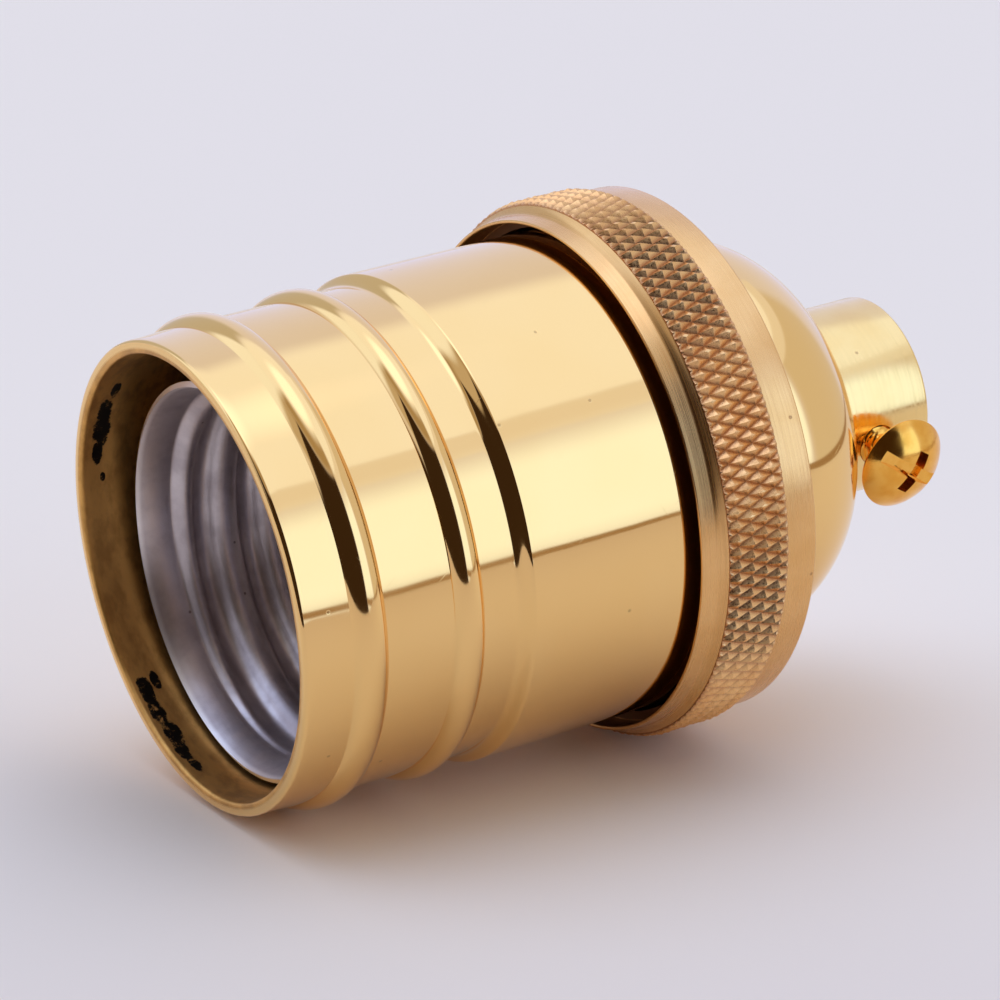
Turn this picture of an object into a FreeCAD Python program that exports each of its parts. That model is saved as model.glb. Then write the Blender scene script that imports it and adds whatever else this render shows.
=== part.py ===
import FreeCAD, Part
import math
import os

from FreeCAD import Vector

# E27 lamp holder with a turned brass sleeve, a knurled union ring and a domed cap.
# Millimetres. The holder stands on its mouth: the mouth rim is z = 0, +Z runs along the axis
# to the neck, and +X points out along the lock screw in the neck.

# --- Clearances -----------------------------------------------------------------------------
THREAD_CLEARANCE = 0.25      # radial, where a fine thread is drawn as a plain cylinder
RUNNING_CLEARANCE = 0.15     # between the ring's lip and the cap's flange
FIT_CLEARANCE = 0.05         # a shank in its tapped hole, a tail in its bore
SEAT_CLEARANCE = 0.20        # the sleeve's end below the cap's flange
INSERT_CLEARANCE = 0.45      # the ceramic core inside the sleeve
OVERCUT = 1.00               # how far a cutting tool runs past the faces it opens

# --- Sleeve: turned brass tube --------------------------------------------------------------
MOUTH_R = 16.80
MOUTH_WALL = 1.00
RIM_ROUND = 0.30
BEAD_HEIGHT = 0.68
BEAD_1_START = 3.60
BEAD_1_WIDTH = 2.60
BEAD_2_START = 11.35
BEAD_2_WIDTH = 2.30
LAND_R = 16.92               # between and behind the beads
STEP_START = 16.10
STEP_WIDTH = 1.20
BODY_R = 17.65
BODY_WALL = 1.00
CORE_SEAT_Z = 17.40          # flat shoulder inside, on which the core rests
SLEEVE_END_CHAMFER = 0.30

# --- Screw shell: aluminium sheet with the rolled E27 thread --------------------------------
SHELL_LIP_Z = 3.40
SHELL_LIP_R = 14.30
SHELL_SHEET = 0.40
SHELL_MAJOR_R = 13.30        # inside radius at the thread's outermost point
SHELL_MINOR_R = 12.25        # inside radius at the thread's innermost point
E27_PITCH = 25.4 / 7.0
SHELL_BASE_Z = 24.00         # where the shell's floor lies on the ceramic
SHELL_FLOOR_HOLE_R = 7.40
SHELL_FLARE = 2.40           # height of the slightly flared lip in front of the first thread
SHELL_FOOT = 2.40            # height of the plain wall and corner below the last thread
SHELL_FADE = 1.20            # length over which the thread runs out
SHELL_PHASE_DEG = 260.0      # turns the thread round the axis
SHELL_CORNER_R = 1.00
SHELL_COLUMNS = 24           # net of the shell's surface: around, and along each stretch
SHELL_ROWS_LIP = 5
SHELL_ROWS_PER_PITCH = 8
SHELL_ROWS_CORNER = 4
SHELL_ROWS_FLOOR = 4

# --- Ceramic core ---------------------------------------------------------------------------
CORE_REAR_Z = 36.00
CORE_POCKET_CLEARANCE = 0.35
CORE_EDGE = 0.25
TERMINAL_POCKET_DEPTH = 3.00
TERMINAL_POCKET_HALF_WIDTH = 3.80
BARRIER_THICK = 1.50
BARRIER_RISE = 1.20
BARRIER_LENGTH = 20.00
TONGUE_RECESS_DEPTH = 2.00
CORE_NOTCH_WIDTH = 4.00
CORE_NOTCH_DEPTH = 1.60
CORE_NOTCH_LENGTH = 8.00
SCREW_HOLE_SIDE_GAP = 0.30   # round a terminal screw's shank, in the ceramic
SCREW_HOLE_END_GAP = 0.50    # below its point
TONGUE_RECESS_INSET = 0.40   # from the tongue's bend to the hollow behind it
TONGUE_RECESS_END_GAP = 0.80
TONGUE_RECESS_SIDE_GAP = 0.60

# --- Rivets ---------------------------------------------------------------------------------
RIVET_R = 1.20
RIVET_HEAD_R = 1.80
RIVET_HEAD_THICK = 0.60
SHELL_RIVET_PITCH_R = 9.50
PLAIN_RIVET_ANGLES = (120.0, 240.0)
COUNTERBORE_EXTRA = 0.40

# --- Terminals ------------------------------------------------------------------------------
TERMINAL_THICK = 1.20
TERMINAL_HALF_WIDTH = 3.40
TERMINAL_CORNER_R = 0.60
TERMINAL_LUG_RISE = 1.00
TERMINAL_LUG_THICK = 0.30
TERMINAL_LUG_HALF_WIDTH = 2.00
TERMINAL_LUG_STEP = 0.20     # the lug's lower end above the plate's underside
TERMINAL_MARGIN = 2.10       # from a rivet's axis to the plate's end
SCREW_TO_RIVET = 5.20
SCREW_MARGIN = 3.70          # from a screw's axis to the plate's end
POCKET_MARGIN = 0.40
LIVE_RIVET_X = -4.00
TERMINAL_SCREW_R = 1.50
TERMINAL_SCREW_LENGTH = 6.50
TERMINAL_SCREW_HEAD_R = 2.75
TERMINAL_SCREW_HEAD_THICK = 2.00
TERMINAL_SCREW_TRAVEL = 1.50
WASHER_THICK = 0.80
WASHER_HALF_WIDTH = 3.00
WASHER_LIP = 0.70            # width of its turned-down edges
WASHER_LIP_DROP = 0.28

# --- Centre contact -------------------------------------------------------------------------
TONGUE_THICK = 0.40
TONGUE_WIDTH = 4.80
TONGUE_RISE = 2.40           # from the ceramic's face to the flat that carries the button
TONGUE_SLOPE = 2.40
TONGUE_FLAT = 2.40
TONGUE_TAIL = 1.60
TONGUE_TAIL_DROP = 1.00
TONGUE_ROOT_END = 2.00       # from the rivet's axis to the root's end
BUTTON_HEAD_R = 1.90
BUTTON_HEAD_THICK = 0.80
BUTTON_SHANK_R = 0.85
BUTTON_TAIL_R = 1.05
BUTTON_TAIL_END_R = 0.85
BUTTON_TAIL_THICK = 0.40

# --- Cap: dome and flange -------------------------------------------------------------------
FLANGE_INSET = 0.35          # the flange's rim inside the sleeve's outside
FLANGE_THICK = 1.40
CAP_R = 15.00
CAP_WALL = 1.00
CAP_CROWN = 1.40             # thicker at the crown, faced flat inside for the bracket and nut
DOME_START_Z = 41.20
DOME_ROUND = 9.10
NECK_SEAT_R = 7.30           # flat on the dome's top, for the neck bush

# --- Knurled union ring ---------------------------------------------------------------------
RING_FRONT_Z = 29.90
RING_THREAD_START_Z = 31.90
RING_MOUTH_RELIEF = 0.80     # the wide bore in front of the thread, beyond the thread's radius
RING_FRONT_LAND_WALL = 1.60  # walls outside the thread's radius
RING_REAR_LAND_WALL = 1.85
RING_EDGE = 0.30
RING_REAR_Z = 39.00
RING_GROOVE_WIDTH = 0.30
RING_GROOVE_DEPTH = 0.30
KNURL_START_Z = 31.65
KNURL_WIDTH = 4.86
KNURL_TIP_WALL = 2.05
KNURL_DEPTH = 0.42
KNURL_COUNT = 126
KNURL_ROW_PITCH = 1.11       # along the axis, from one row of points to the next
KNURL_ROOT_BAND = 0.60       # wall kept under the knurl when it is joined to the ring

# --- Neck, with its nut and the earth terminal ----------------------------------------------
NECK_R = 7.07
NECK_END_Z = 58.10
NECK_BORE_R = 4.50           # M10 x 1, drawn as its plain core hole
NECK_BORE_CHAMFER = 0.60
NECK_EDGE = 0.25
NECK_TAIL_R = 6.00
NUT_FLATS = 14.00
NUT_THICK = 2.40
NUT_BEVEL = 0.60
NECK_TAIL_PROUD = 0.60
BRACKET_THICK = 0.80
BRACKET_WASHER_R = 8.00
BRACKET_WIDTH = 6.00
BRACKET_LEG_Y = 10.00        # outer face of the leg
BRACKET_BEND_R = 3.00
BRACKET_FOOT_Z = 42.00
BRACKET_FOOT_REACH = 5.40
EARTH_SCREW_FROM_END = 2.00
EARTH_SCREW_LENGTH = 3.20
EARTH_HEAD_R = 2.50
EARTH_HEAD_THICK = 1.80
EARTH_WASHER_R = 2.80
EARTH_WASHER_THICK = 0.60
EARTH_WASHER_EDGE = 0.30
EARTH_WASHER_LIP = 0.50
EARTH_WASHER_FLOOR = 0.35

# --- Screws in general: shares of a head's or a shank's own size ----------------------------
HEAD_FLAT = 0.45             # radius of the flat on a pan head's top
HEAD_WAIST = 0.82            # radius at the middle of its rounding
HEAD_WAIST_RISE = 0.72       # height of that middle above the straight side
TERMINAL_HEAD_SIDE = 0.55    # straight part of a terminal screw's head
SHANK_BEVEL = 0.35           # of the shank's radius
SHANK_SINK = 0.20            # a shank starts this far inside its head, in mm
SLOT_WIDTH = 0.80
SLOT_DEPTH = 1.00

# --- Lock screw in the neck -----------------------------------------------------------------
LOCK_SCREW_Z = 53.50
LOCK_SCREW_R = 1.50
LOCK_SCREW_GAP = 2.80        # between the neck and the head's underside
LOCK_TIP_RETREAT = 0.25      # the point stays this far outside the neck's bore
LOCK_HEAD_R = 3.50
LOCK_HEAD_THICK = 1.85
LOCK_HEAD_SIDE = 0.15
LOCK_SLOT_WIDTH = 0.95
LOCK_DRIVE_DEG = -34.0       # turns the slot from the lamp holder's axis
CROSS_WIDTH = 1.20
CROSS_REACH = 2.05
CROSS_DEPTH = 1.35
CROSS_TAPER = 0.55           # reach of the cross at its floor, as a share
CROSS_THINNING = 0.70        # width at its floor, as a share

# --- Derived places -------------------------------------------------------------------------
MOUTH_BORE_R = MOUTH_R - MOUTH_WALL
BODY_BORE_R = BODY_R - BODY_WALL
SLEEVE_END_Z = CORE_REAR_Z - SEAT_CLEARANCE
CORE_R = BODY_BORE_R - INSERT_CLEARANCE
FLANGE_TOP_Z = CORE_REAR_Z + FLANGE_THICK
RING_LIP_Z = FLANGE_TOP_Z + RUNNING_CLEARANCE
RING_THREAD_R = BODY_R + THREAD_CLEARANCE
RING_MOUTH_R = RING_THREAD_R + RING_MOUTH_RELIEF
RING_FRONT_LAND_R = RING_THREAD_R + RING_FRONT_LAND_WALL
RING_REAR_LAND_R = RING_THREAD_R + RING_REAR_LAND_WALL
KNURL_TIP_R = RING_THREAD_R + KNURL_TIP_WALL
FLANGE_R = BODY_R - FLANGE_INSET
RING_REAR_BORE_R = CAP_R + THREAD_CLEARANCE
DOME_CENTRE_R = CAP_R - DOME_ROUND
DOME_TOP_Z = DOME_START_Z + math.sqrt(DOME_ROUND ** 2 - (NECK_SEAT_R - DOME_CENTRE_R) ** 2)
DOME_CEILING_Z = DOME_TOP_Z - CAP_CROWN
NECK_TAIL_END_Z = DOME_CEILING_Z - BRACKET_THICK - NUT_THICK - NECK_TAIL_PROUD
PLATE_Z = CORE_REAR_Z - TERMINAL_POCKET_DEPTH
PLATE_TOP_Z = PLATE_Z + TERMINAL_THICK
LIVE_SCREW_X = LIVE_RIVET_X - SCREW_TO_RIVET
NEUTRAL_SCREW_X = SHELL_RIVET_PITCH_R - SCREW_TO_RIVET
LIVE_PLATE_X = (LIVE_SCREW_X - SCREW_MARGIN, LIVE_RIVET_X + TERMINAL_MARGIN)
NEUTRAL_PLATE_X = (NEUTRAL_SCREW_X - SCREW_MARGIN, SHELL_RIVET_PITCH_R + TERMINAL_MARGIN)
TONGUE_FACE_Z = SHELL_BASE_Z - TONGUE_RISE
TONGUE_BEND_X = LIVE_RIVET_X + RIVET_HEAD_R
BUTTON_X = TONGUE_BEND_X + TONGUE_SLOPE + TONGUE_FLAT / 2
LOCK_HEAD_X = NECK_R + LOCK_SCREW_GAP
EARTH_SCREW_Y = BRACKET_LEG_Y - BRACKET_FOOT_REACH + EARTH_SCREW_FROM_END

SEW_TOLERANCE = 0.0005
AXIS_Z = Vector(0, 0, 1)
ORIGIN = Vector(0, 0, 0)


# --- Shared shapes --------------------------------------------------------------------------
def turned(start, *steps):
    """Solid of revolution about Z. The outline is (radius, z) points joined by lines; a step
    that is a pair of points is an arc through the first to the second."""
    edges = []
    here = Vector(start[0], 0, start[1])
    first = here
    for step in steps:
        if isinstance(step[0], tuple):
            middle = Vector(step[0][0], 0, step[0][1])
            there = Vector(step[1][0], 0, step[1][1])
            edges.append(Part.Arc(here, middle, there).toShape())
        else:
            there = Vector(step[0], 0, step[1])
            edges.append(Part.makeLine(here, there))
        here = there
    if here.distanceToPoint(first) > 1e-6:
        edges.append(Part.makeLine(here, first))
    face = Part.Face(Part.Wire(edges))
    return face.revolve(ORIGIN, AXIS_Z, 360)


def closed_solid(faces):
    """Solid from faces that meet edge to edge."""
    skin = Part.makeCompound(faces)
    skin.sewShape(SEW_TOLERANCE)
    return Part.makeSolid(skin.Shells[0])


def drum(radius, low, high, x=0.0, y=0.0):
    """Plain cylinder along Z between two heights."""
    return Part.makeCylinder(radius, high - low, Vector(x, y, low))


def block(x_range, y_range, z_range):
    """Box between two corners."""
    size = [high - low for low, high in (x_range, y_range, z_range)]
    return Part.makeBox(*size, Vector(x_range[0], y_range[0], z_range[0]))


def bead(start_z, width, land_r):
    """Outline steps of a round bead standing on the land between two sharp corners."""
    return ((land_r + BEAD_HEIGHT, start_z + width / 2), (land_r, start_z + width))


def polar(radius, angle_deg):
    angle = math.radians(angle_deg)
    return radius * math.cos(angle), radius * math.sin(angle)


def cap_arc(radius, base_z, rise):
    """Middle and crown of a spherical cap's section, from its rim at base_z to the axis."""
    ball_r = (radius ** 2 + rise ** 2) / (2 * abs(rise))
    sign = 1 if rise > 0 else -1
    middle_z = base_z + rise - sign * (ball_r - math.sqrt(ball_r ** 2 - (radius / 2) ** 2))
    return ((radius / 2, middle_z), (0, base_z + rise))


def pan_head(radius, thick, side):
    """Screw head on z = 0: a straight side, then a shallow domed top."""
    flat_r = radius * HEAD_FLAT
    waist = (radius * HEAD_WAIST, side + (thick - side) * HEAD_WAIST_RISE)
    return turned((0, 0), (radius, 0), (radius, side), (waist, (flat_r, thick)), (0, thick))


def domed_head(radius, thick, side):
    """Screw head on z = 0: a low straight side under a spherical dome."""
    return turned((0, 0), (radius, 0), (radius, side), cap_arc(radius, side, thick - side))


def slot_cut(radius, thick, width, depth):
    """Straight slot across a whole head, along X."""
    reach = radius + OVERCUT
    return block((-reach, reach), (-width / 2, width / 2), (thick - depth, thick + OVERCUT))


def shank(radius, length):
    """Plain shank hanging from z = 0, with a bevelled point."""
    bevel = radius * SHANK_BEVEL
    return turned((0, SHANK_SINK), (radius, SHANK_SINK), (radius, bevel - length),
                  (radius - bevel, -length), (0, -length))


def clamp_screw(shank_r, length, head_r, head_thick):
    """Slotted pan-head screw: head above z = 0, shank below it."""
    head = pan_head(head_r, head_thick, head_thick * TERMINAL_HEAD_SIDE)
    head = head.cut(slot_cut(head_r, head_thick, SLOT_WIDTH, SLOT_DEPTH))
    return head.fuse(shank(shank_r, length)).removeSplitter()


def rivet(x, y, front_z, back_z):
    """Rivet along Z: a domed head below front_z and its closed head above back_z."""
    front = cap_arc(RIVET_HEAD_R, front_z, -RIVET_HEAD_THICK)
    body = turned(front[1], (front[0], (RIVET_HEAD_R, front_z)),
                  (RIVET_R, front_z), (RIVET_R, back_z), (RIVET_HEAD_R, back_z),
                  cap_arc(RIVET_HEAD_R, back_z, RIVET_HEAD_THICK))
    body.translate(Vector(x, y, 0))
    return body


# --- Sleeve ---------------------------------------------------------------------------------
def make_sleeve():
    """Turned tube: rounded mouth rim, two round beads, a bevelled step up to the body, and
    inside a counterbore whose shoulder carries the ceramic core."""
    q = RIM_ROUND * (1 - math.sqrt(0.5))
    return turned(
        (MOUTH_BORE_R + RIM_ROUND, 0),
        (MOUTH_R - RIM_ROUND, 0),
        ((MOUTH_R - q, q), (MOUTH_R, RIM_ROUND)),
        (LAND_R, BEAD_1_START),
        bead(BEAD_1_START, BEAD_1_WIDTH, LAND_R),
        (LAND_R, BEAD_2_START),
        bead(BEAD_2_START, BEAD_2_WIDTH, LAND_R),
        (LAND_R, STEP_START),
        (BODY_R, STEP_START + STEP_WIDTH),
        (BODY_R, SLEEVE_END_Z - SLEEVE_END_CHAMFER),
        (BODY_R - SLEEVE_END_CHAMFER, SLEEVE_END_Z),
        (BODY_BORE_R, SLEEVE_END_Z),
        (BODY_BORE_R, CORE_SEAT_Z),
        (MOUTH_BORE_R, CORE_SEAT_Z),
        (MOUTH_BORE_R, RIM_ROUND),
        ((MOUTH_BORE_R + q, q), (MOUTH_BORE_R + RIM_ROUND, 0)),
    )


# --- Screw shell ----------------------------------------------------------------------------
def thread_wave(turns):
    """Rolled thread's section, from -1 at a root to +1 at a crest: equal arcs, tangent where
    they meet. turns counts pitches along the section."""
    depth = SHELL_MAJOR_R - SHELL_MINOR_R
    quarter = E27_PITCH / 4
    round_r = (quarter ** 2 + (depth / 2) ** 2) / depth
    offset = (turns - math.floor(turns)) * E27_PITCH
    crest = offset < quarter or offset > 3 * quarter
    run = min(offset, E27_PITCH - offset) if crest else abs(offset - 2 * quarter)
    drop = round_r - math.sqrt(round_r ** 2 - run ** 2)
    height = 1 - 2 * drop / depth
    return height if crest else -height


def thread_strength(z):
    """The thread at full depth between the lip and the foot, running out at both ends."""
    low = SHELL_LIP_Z + SHELL_FLARE
    high = SHELL_BASE_Z - SHELL_FOOT
    reach = min(z - low, high - z) / SHELL_FADE
    reach = min(max(reach, 0.0), 1.0)
    return reach * reach * (3 - 2 * reach)


def shell_wall(z, angle_deg):
    """Radius of the sheet's middle at a height of the threaded wall: the plain wall's, less what
    the thread draws in."""
    depth = SHELL_MAJOR_R - SHELL_MINOR_R
    plain = SHELL_MAJOR_R + SHELL_SHEET / 2
    swell = 6 / (4 + 2 * math.cos(2 * math.pi / SHELL_ROWS_PER_PITCH))
    turns = z / E27_PITCH - (angle_deg + SHELL_PHASE_DEG) / 360
    return plain + thread_strength(z) * (thread_wave(turns) * swell - 1) * depth / 2


def shell_section(angle_deg):
    """Middle line of the sheet at one angle, as (radius, z): flared lip, threaded wall, corner
    and floor."""
    low = SHELL_LIP_Z + SHELL_FLARE
    high = SHELL_BASE_Z - SHELL_SHEET / 2
    plain_r = shell_wall(low, angle_deg)
    points = []
    for step in range(SHELL_ROWS_LIP):
        share = step / SHELL_ROWS_LIP
        r = plain_r + (SHELL_LIP_R - SHELL_SHEET / 2 - plain_r) * (1 - share) ** 2
        points.append((r, SHELL_LIP_Z + SHELL_FLARE * share))
    wall = high - SHELL_CORNER_R - low
    rows = int(round(wall / E27_PITCH * SHELL_ROWS_PER_PITCH))
    for row in range(rows):
        z = low + wall * row / rows
        points.append((shell_wall(z, angle_deg), z))
    centre_r = plain_r - SHELL_CORNER_R
    for step in range(SHELL_ROWS_CORNER + 1):
        r, z = polar(SHELL_CORNER_R, 90 * step / SHELL_ROWS_CORNER)
        points.append((centre_r + r, high - SHELL_CORNER_R + z))
    floor = SHELL_FLOOR_HOLE_R - centre_r
    for step in range(1, SHELL_ROWS_FLOOR + 1):
        points.append((centre_r + floor * step / SHELL_ROWS_FLOOR, high))
    return points


def offset_line(points, distance):
    """The line moved sideways by a distance, along its own normals."""
    moved = []
    for index, (r, z) in enumerate(points):
        before = points[max(index - 1, 0)]
        after = points[min(index + 1, len(points) - 1)]
        run_r = after[0] - before[0]
        run_z = after[1] - before[1]
        length = math.hypot(run_r, run_z)
        moved.append((r + distance * run_z / length, z - distance * run_r / length))
    return moved


def shell_skin(distance):
    """Cubic surface, closed around the axis, drawn through a net over the sheet's middle that
    is moved to one of its faces. The net stands outside by what a cubic draws in."""
    swell = 6 / (4 + 2 * math.cos(2 * math.pi / SHELL_COLUMNS))
    net = []
    for column in range(SHELL_COLUMNS):
        angle_deg = 360.0 * column / SHELL_COLUMNS
        line = offset_line(shell_section(angle_deg), distance)
        net.append([Vector(*polar(r * swell, angle_deg), z) for r, z in line])
    rows = len(net[0])
    surface = Part.BSplineSurface()
    surface.buildFromPolesMultsKnots(
        net,
        [1] * (SHELL_COLUMNS + 1),
        [4] + [1] * (rows - 4) + [4],
        list(range(SHELL_COLUMNS + 1)),
        list(range(rows - 2)),
        True, False, 3, 3)
    return surface


def make_screw_shell():
    """Drawn aluminium shell with a flared lip, the rolled thread and a floor with a large hole,
    riveted to the ceramic."""
    outside = shell_skin(SHELL_SHEET / 2)
    inside = shell_skin(-SHELL_SHEET / 2)
    faces = [outside.toShape(), inside.toShape()]
    for end in (2, 3):
        rims = [skin.vIso(skin.bounds()[end]).toShape() for skin in (outside, inside)]
        faces.append(Part.makeRuledSurface(*rims))
    shell = closed_solid(faces)
    low = SHELL_BASE_Z - SHELL_SHEET - OVERCUT
    places = shell_rivet_places()
    return shell.cut([drum(RIVET_R, low, SHELL_BASE_Z + OVERCUT, x, y) for x, y in places])


def shell_rivet_places():
    """The neutral rivet on +X, then the two plain ones."""
    angles = (0.0,) + PLAIN_RIVET_ANGLES
    return [polar(SHELL_RIVET_PITCH_R, angle) for angle in angles]


# --- Ceramic core ---------------------------------------------------------------------------
def core_body():
    """Cup that surrounds the shell's foot, with a solid rear and softened edges."""
    pocket_r = SHELL_MAJOR_R + SHELL_SHEET + CORE_POCKET_CLEARANCE
    return turned(
        (pocket_r, CORE_SEAT_Z),
        (CORE_R - CORE_EDGE, CORE_SEAT_Z),
        (CORE_R, CORE_SEAT_Z + CORE_EDGE),
        (CORE_R, CORE_REAR_Z - CORE_EDGE),
        (CORE_R - CORE_EDGE, CORE_REAR_Z),
        (0, CORE_REAR_Z),
        (0, SHELL_BASE_Z),
        (pocket_r, SHELL_BASE_Z),
    )


def core_barrier():
    """Rib between the two terminals, standing on the rear face."""
    middle = (LIVE_PLATE_X[1] + NEUTRAL_PLATE_X[0]) / 2
    return block((middle - BARRIER_THICK / 2, middle + BARRIER_THICK / 2),
                 (-BARRIER_LENGTH / 2, BARRIER_LENGTH / 2),
                 (CORE_REAR_Z - CORE_EDGE, CORE_REAR_Z + BARRIER_RISE))


def core_cuts():
    """Terminal pockets, rivet and screw holes, the hollow behind the centre contact, and the
    two keyways on the side."""
    half = TERMINAL_POCKET_HALF_WIDTH
    high = CORE_REAR_Z + BARRIER_RISE + OVERCUT
    cuts = []
    for plate in (LIVE_PLATE_X, NEUTRAL_PLATE_X):
        x_range = (plate[0] - POCKET_MARGIN, plate[1] + POCKET_MARGIN)
        cuts.append(block(x_range, (-half, half), (PLATE_Z, high)))
    for x, y in [(LIVE_RIVET_X, 0.0)] + shell_rivet_places():
        cuts.append(drum(RIVET_R, SHELL_BASE_Z - OVERCUT, high, x, y))
    for x, y in shell_rivet_places()[1:]:
        cuts.append(drum(RIVET_HEAD_R + COUNTERBORE_EXTRA, PLATE_TOP_Z, high, x, y))
    floor = PLATE_TOP_Z + WASHER_THICK - TERMINAL_SCREW_LENGTH - SCREW_HOLE_END_GAP
    for x in (LIVE_SCREW_X, NEUTRAL_SCREW_X):
        cuts.append(drum(TERMINAL_SCREW_R + SCREW_HOLE_SIDE_GAP, floor, PLATE_Z + OVERCUT, x))
    recess_start = TONGUE_BEND_X + TONGUE_RECESS_INSET
    recess_end = TONGUE_BEND_X + TONGUE_SLOPE + TONGUE_FLAT + TONGUE_TAIL + TONGUE_RECESS_END_GAP
    recess_side = TONGUE_WIDTH / 2 + TONGUE_RECESS_SIDE_GAP
    cuts.append(block((recess_start, recess_end), (-recess_side, recess_side),
                      (SHELL_BASE_Z - OVERCUT, SHELL_BASE_Z + TONGUE_RECESS_DEPTH)))
    for side in (-1, 1):
        y_range = sorted((side * (CORE_R - CORE_NOTCH_DEPTH), side * (CORE_R + OVERCUT)))
        cuts.append(block((-CORE_NOTCH_WIDTH / 2, CORE_NOTCH_WIDTH / 2), y_range,
                          (CORE_REAR_Z - CORE_NOTCH_LENGTH, high)))
    return cuts


def make_ceramic_core():
    core = core_body().fuse(core_barrier())
    return core.cut(core_cuts()).removeSplitter()


# --- Rivets ---------------------------------------------------------------------------------
def make_live_rivet():
    return rivet(LIVE_RIVET_X, 0, SHELL_BASE_Z - TONGUE_THICK, PLATE_TOP_Z)


def make_neutral_rivet():
    x, y = shell_rivet_places()[0]
    return rivet(x, y, SHELL_BASE_Z - SHELL_SHEET, PLATE_TOP_Z)


def make_shell_rivets():
    front = SHELL_BASE_Z - SHELL_SHEET
    return Part.makeCompound([rivet(x, y, front, PLATE_TOP_Z) for x, y in shell_rivet_places()[1:]])


# --- Terminals ------------------------------------------------------------------------------
def terminal(x_range, rivet_x, screw_x):
    """Brass plate with rounded corners, a rivet hole and a tapped hole."""
    half = TERMINAL_HALF_WIDTH
    plate = block(x_range, (-half, half), (PLATE_Z, PLATE_TOP_Z))
    corners = [edge for edge in plate.Edges if abs(edge.tangentAt(edge.FirstParameter).z) > 0.9]
    plate = plate.makeFillet(TERMINAL_CORNER_R, corners)
    low = PLATE_Z - OVERCUT
    high = PLATE_TOP_Z + OVERCUT
    tapped = drum(TERMINAL_SCREW_R + FIT_CLEARANCE, low, high, screw_x)
    return plate.cut([drum(RIVET_R, low, high, rivet_x), tapped])


def make_live_terminal():
    """The live plate has a lug turned up at its screw end."""
    plate = terminal(LIVE_PLATE_X, LIVE_RIVET_X, LIVE_SCREW_X)
    half = TERMINAL_LUG_HALF_WIDTH
    lug = block((LIVE_PLATE_X[0], LIVE_PLATE_X[0] + TERMINAL_LUG_THICK), (-half, half),
                (PLATE_Z + TERMINAL_LUG_STEP, PLATE_TOP_Z + TERMINAL_LUG_RISE))
    return plate.fuse(lug).removeSplitter()


def make_neutral_terminal():
    return terminal(NEUTRAL_PLATE_X, SHELL_RIVET_PITCH_R, NEUTRAL_SCREW_X)


def terminal_screw(x):
    screw = clamp_screw(TERMINAL_SCREW_R, TERMINAL_SCREW_LENGTH, TERMINAL_SCREW_HEAD_R,
                        TERMINAL_SCREW_HEAD_THICK)
    screw.translate(Vector(x, 0, PLATE_TOP_Z + WASHER_THICK))
    return screw


def clamp_washer(x):
    """Square washer with its two free edges turned down to hold the wire."""
    half = WASHER_HALF_WIDTH
    high = PLATE_TOP_Z + WASHER_THICK
    low = PLATE_TOP_Z - OVERCUT
    washer = block((x - half, x + half), (-half, half), (PLATE_TOP_Z, high))
    channel = block((x - half - OVERCUT, x + half + OVERCUT), (WASHER_LIP - half, half - WASHER_LIP),
                    (low, PLATE_TOP_Z + WASHER_LIP_DROP))
    hole = drum(TERMINAL_SCREW_R + FIT_CLEARANCE, low, high + OVERCUT, x)
    return washer.cut([channel, hole])


# --- Centre contact -------------------------------------------------------------------------
def tongue_side():
    """Side outline of the bronze tongue in XZ: flat root, slope, flat for the button, tail."""
    top = TONGUE_FACE_Z
    root = SHELL_BASE_Z - TONGUE_THICK
    x0 = LIVE_RIVET_X - TONGUE_ROOT_END
    x1 = TONGUE_BEND_X
    x2 = x1 + TONGUE_SLOPE
    x3 = x2 + TONGUE_FLAT
    x4 = x3 + TONGUE_TAIL
    slope_gap = TONGUE_THICK * math.hypot(TONGUE_SLOPE, root - top) / TONGUE_SLOPE
    tail_gap = TONGUE_THICK * math.hypot(TONGUE_TAIL, TONGUE_TAIL_DROP) / TONGUE_TAIL
    near = [(x0, root), (x1, root), (x2, top), (x3, top), (x4, top + TONGUE_TAIL_DROP)]
    lean = (slope_gap - TONGUE_THICK) * TONGUE_SLOPE / (root - top)
    lean_tail = (tail_gap - TONGUE_THICK) * TONGUE_TAIL / TONGUE_TAIL_DROP
    far = [(x4, top + TONGUE_TAIL_DROP + tail_gap), (x3 - lean_tail, top + TONGUE_THICK),
           (x2 + lean, top + TONGUE_THICK), (x1 + lean, root + TONGUE_THICK),
           (x0, root + TONGUE_THICK)]
    return near + far


def make_centre_contact():
    corners = [Vector(x, -TONGUE_WIDTH / 2, z) for x, z in tongue_side()]
    face = Part.Face(Part.makePolygon(corners + [corners[0]]))
    strip = face.extrude(Vector(0, TONGUE_WIDTH, 0))
    low = TONGUE_FACE_Z - OVERCUT
    high = SHELL_BASE_Z + OVERCUT
    rivet_hole = drum(RIVET_R, low, high, LIVE_RIVET_X)
    return strip.cut([rivet_hole, drum(BUTTON_SHANK_R + FIT_CLEARANCE, low, high, BUTTON_X)])


def make_contact_button():
    """Domed button on the tongue's lamp side, its shank closed over behind it."""
    face = TONGUE_FACE_Z
    back = face + TONGUE_THICK
    crown = cap_arc(BUTTON_HEAD_R, face, -BUTTON_HEAD_THICK)
    button = turned(crown[1], (crown[0], (BUTTON_HEAD_R, face)),
                    (BUTTON_SHANK_R, face), (BUTTON_SHANK_R, back), (BUTTON_TAIL_R, back),
                    (BUTTON_TAIL_END_R, back + BUTTON_TAIL_THICK), (0, back + BUTTON_TAIL_THICK))
    button.translate(Vector(BUTTON_X, 0, 0))
    return button


# --- Cap ------------------------------------------------------------------------------------
def dome_point(round_r, angle_deg):
    """Point of the dome's section, from 0 degrees at its widest to 90 at its crown."""
    r, z = polar(round_r, angle_deg)
    return (DOME_CENTRE_R + r, DOME_START_Z + z)


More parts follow.
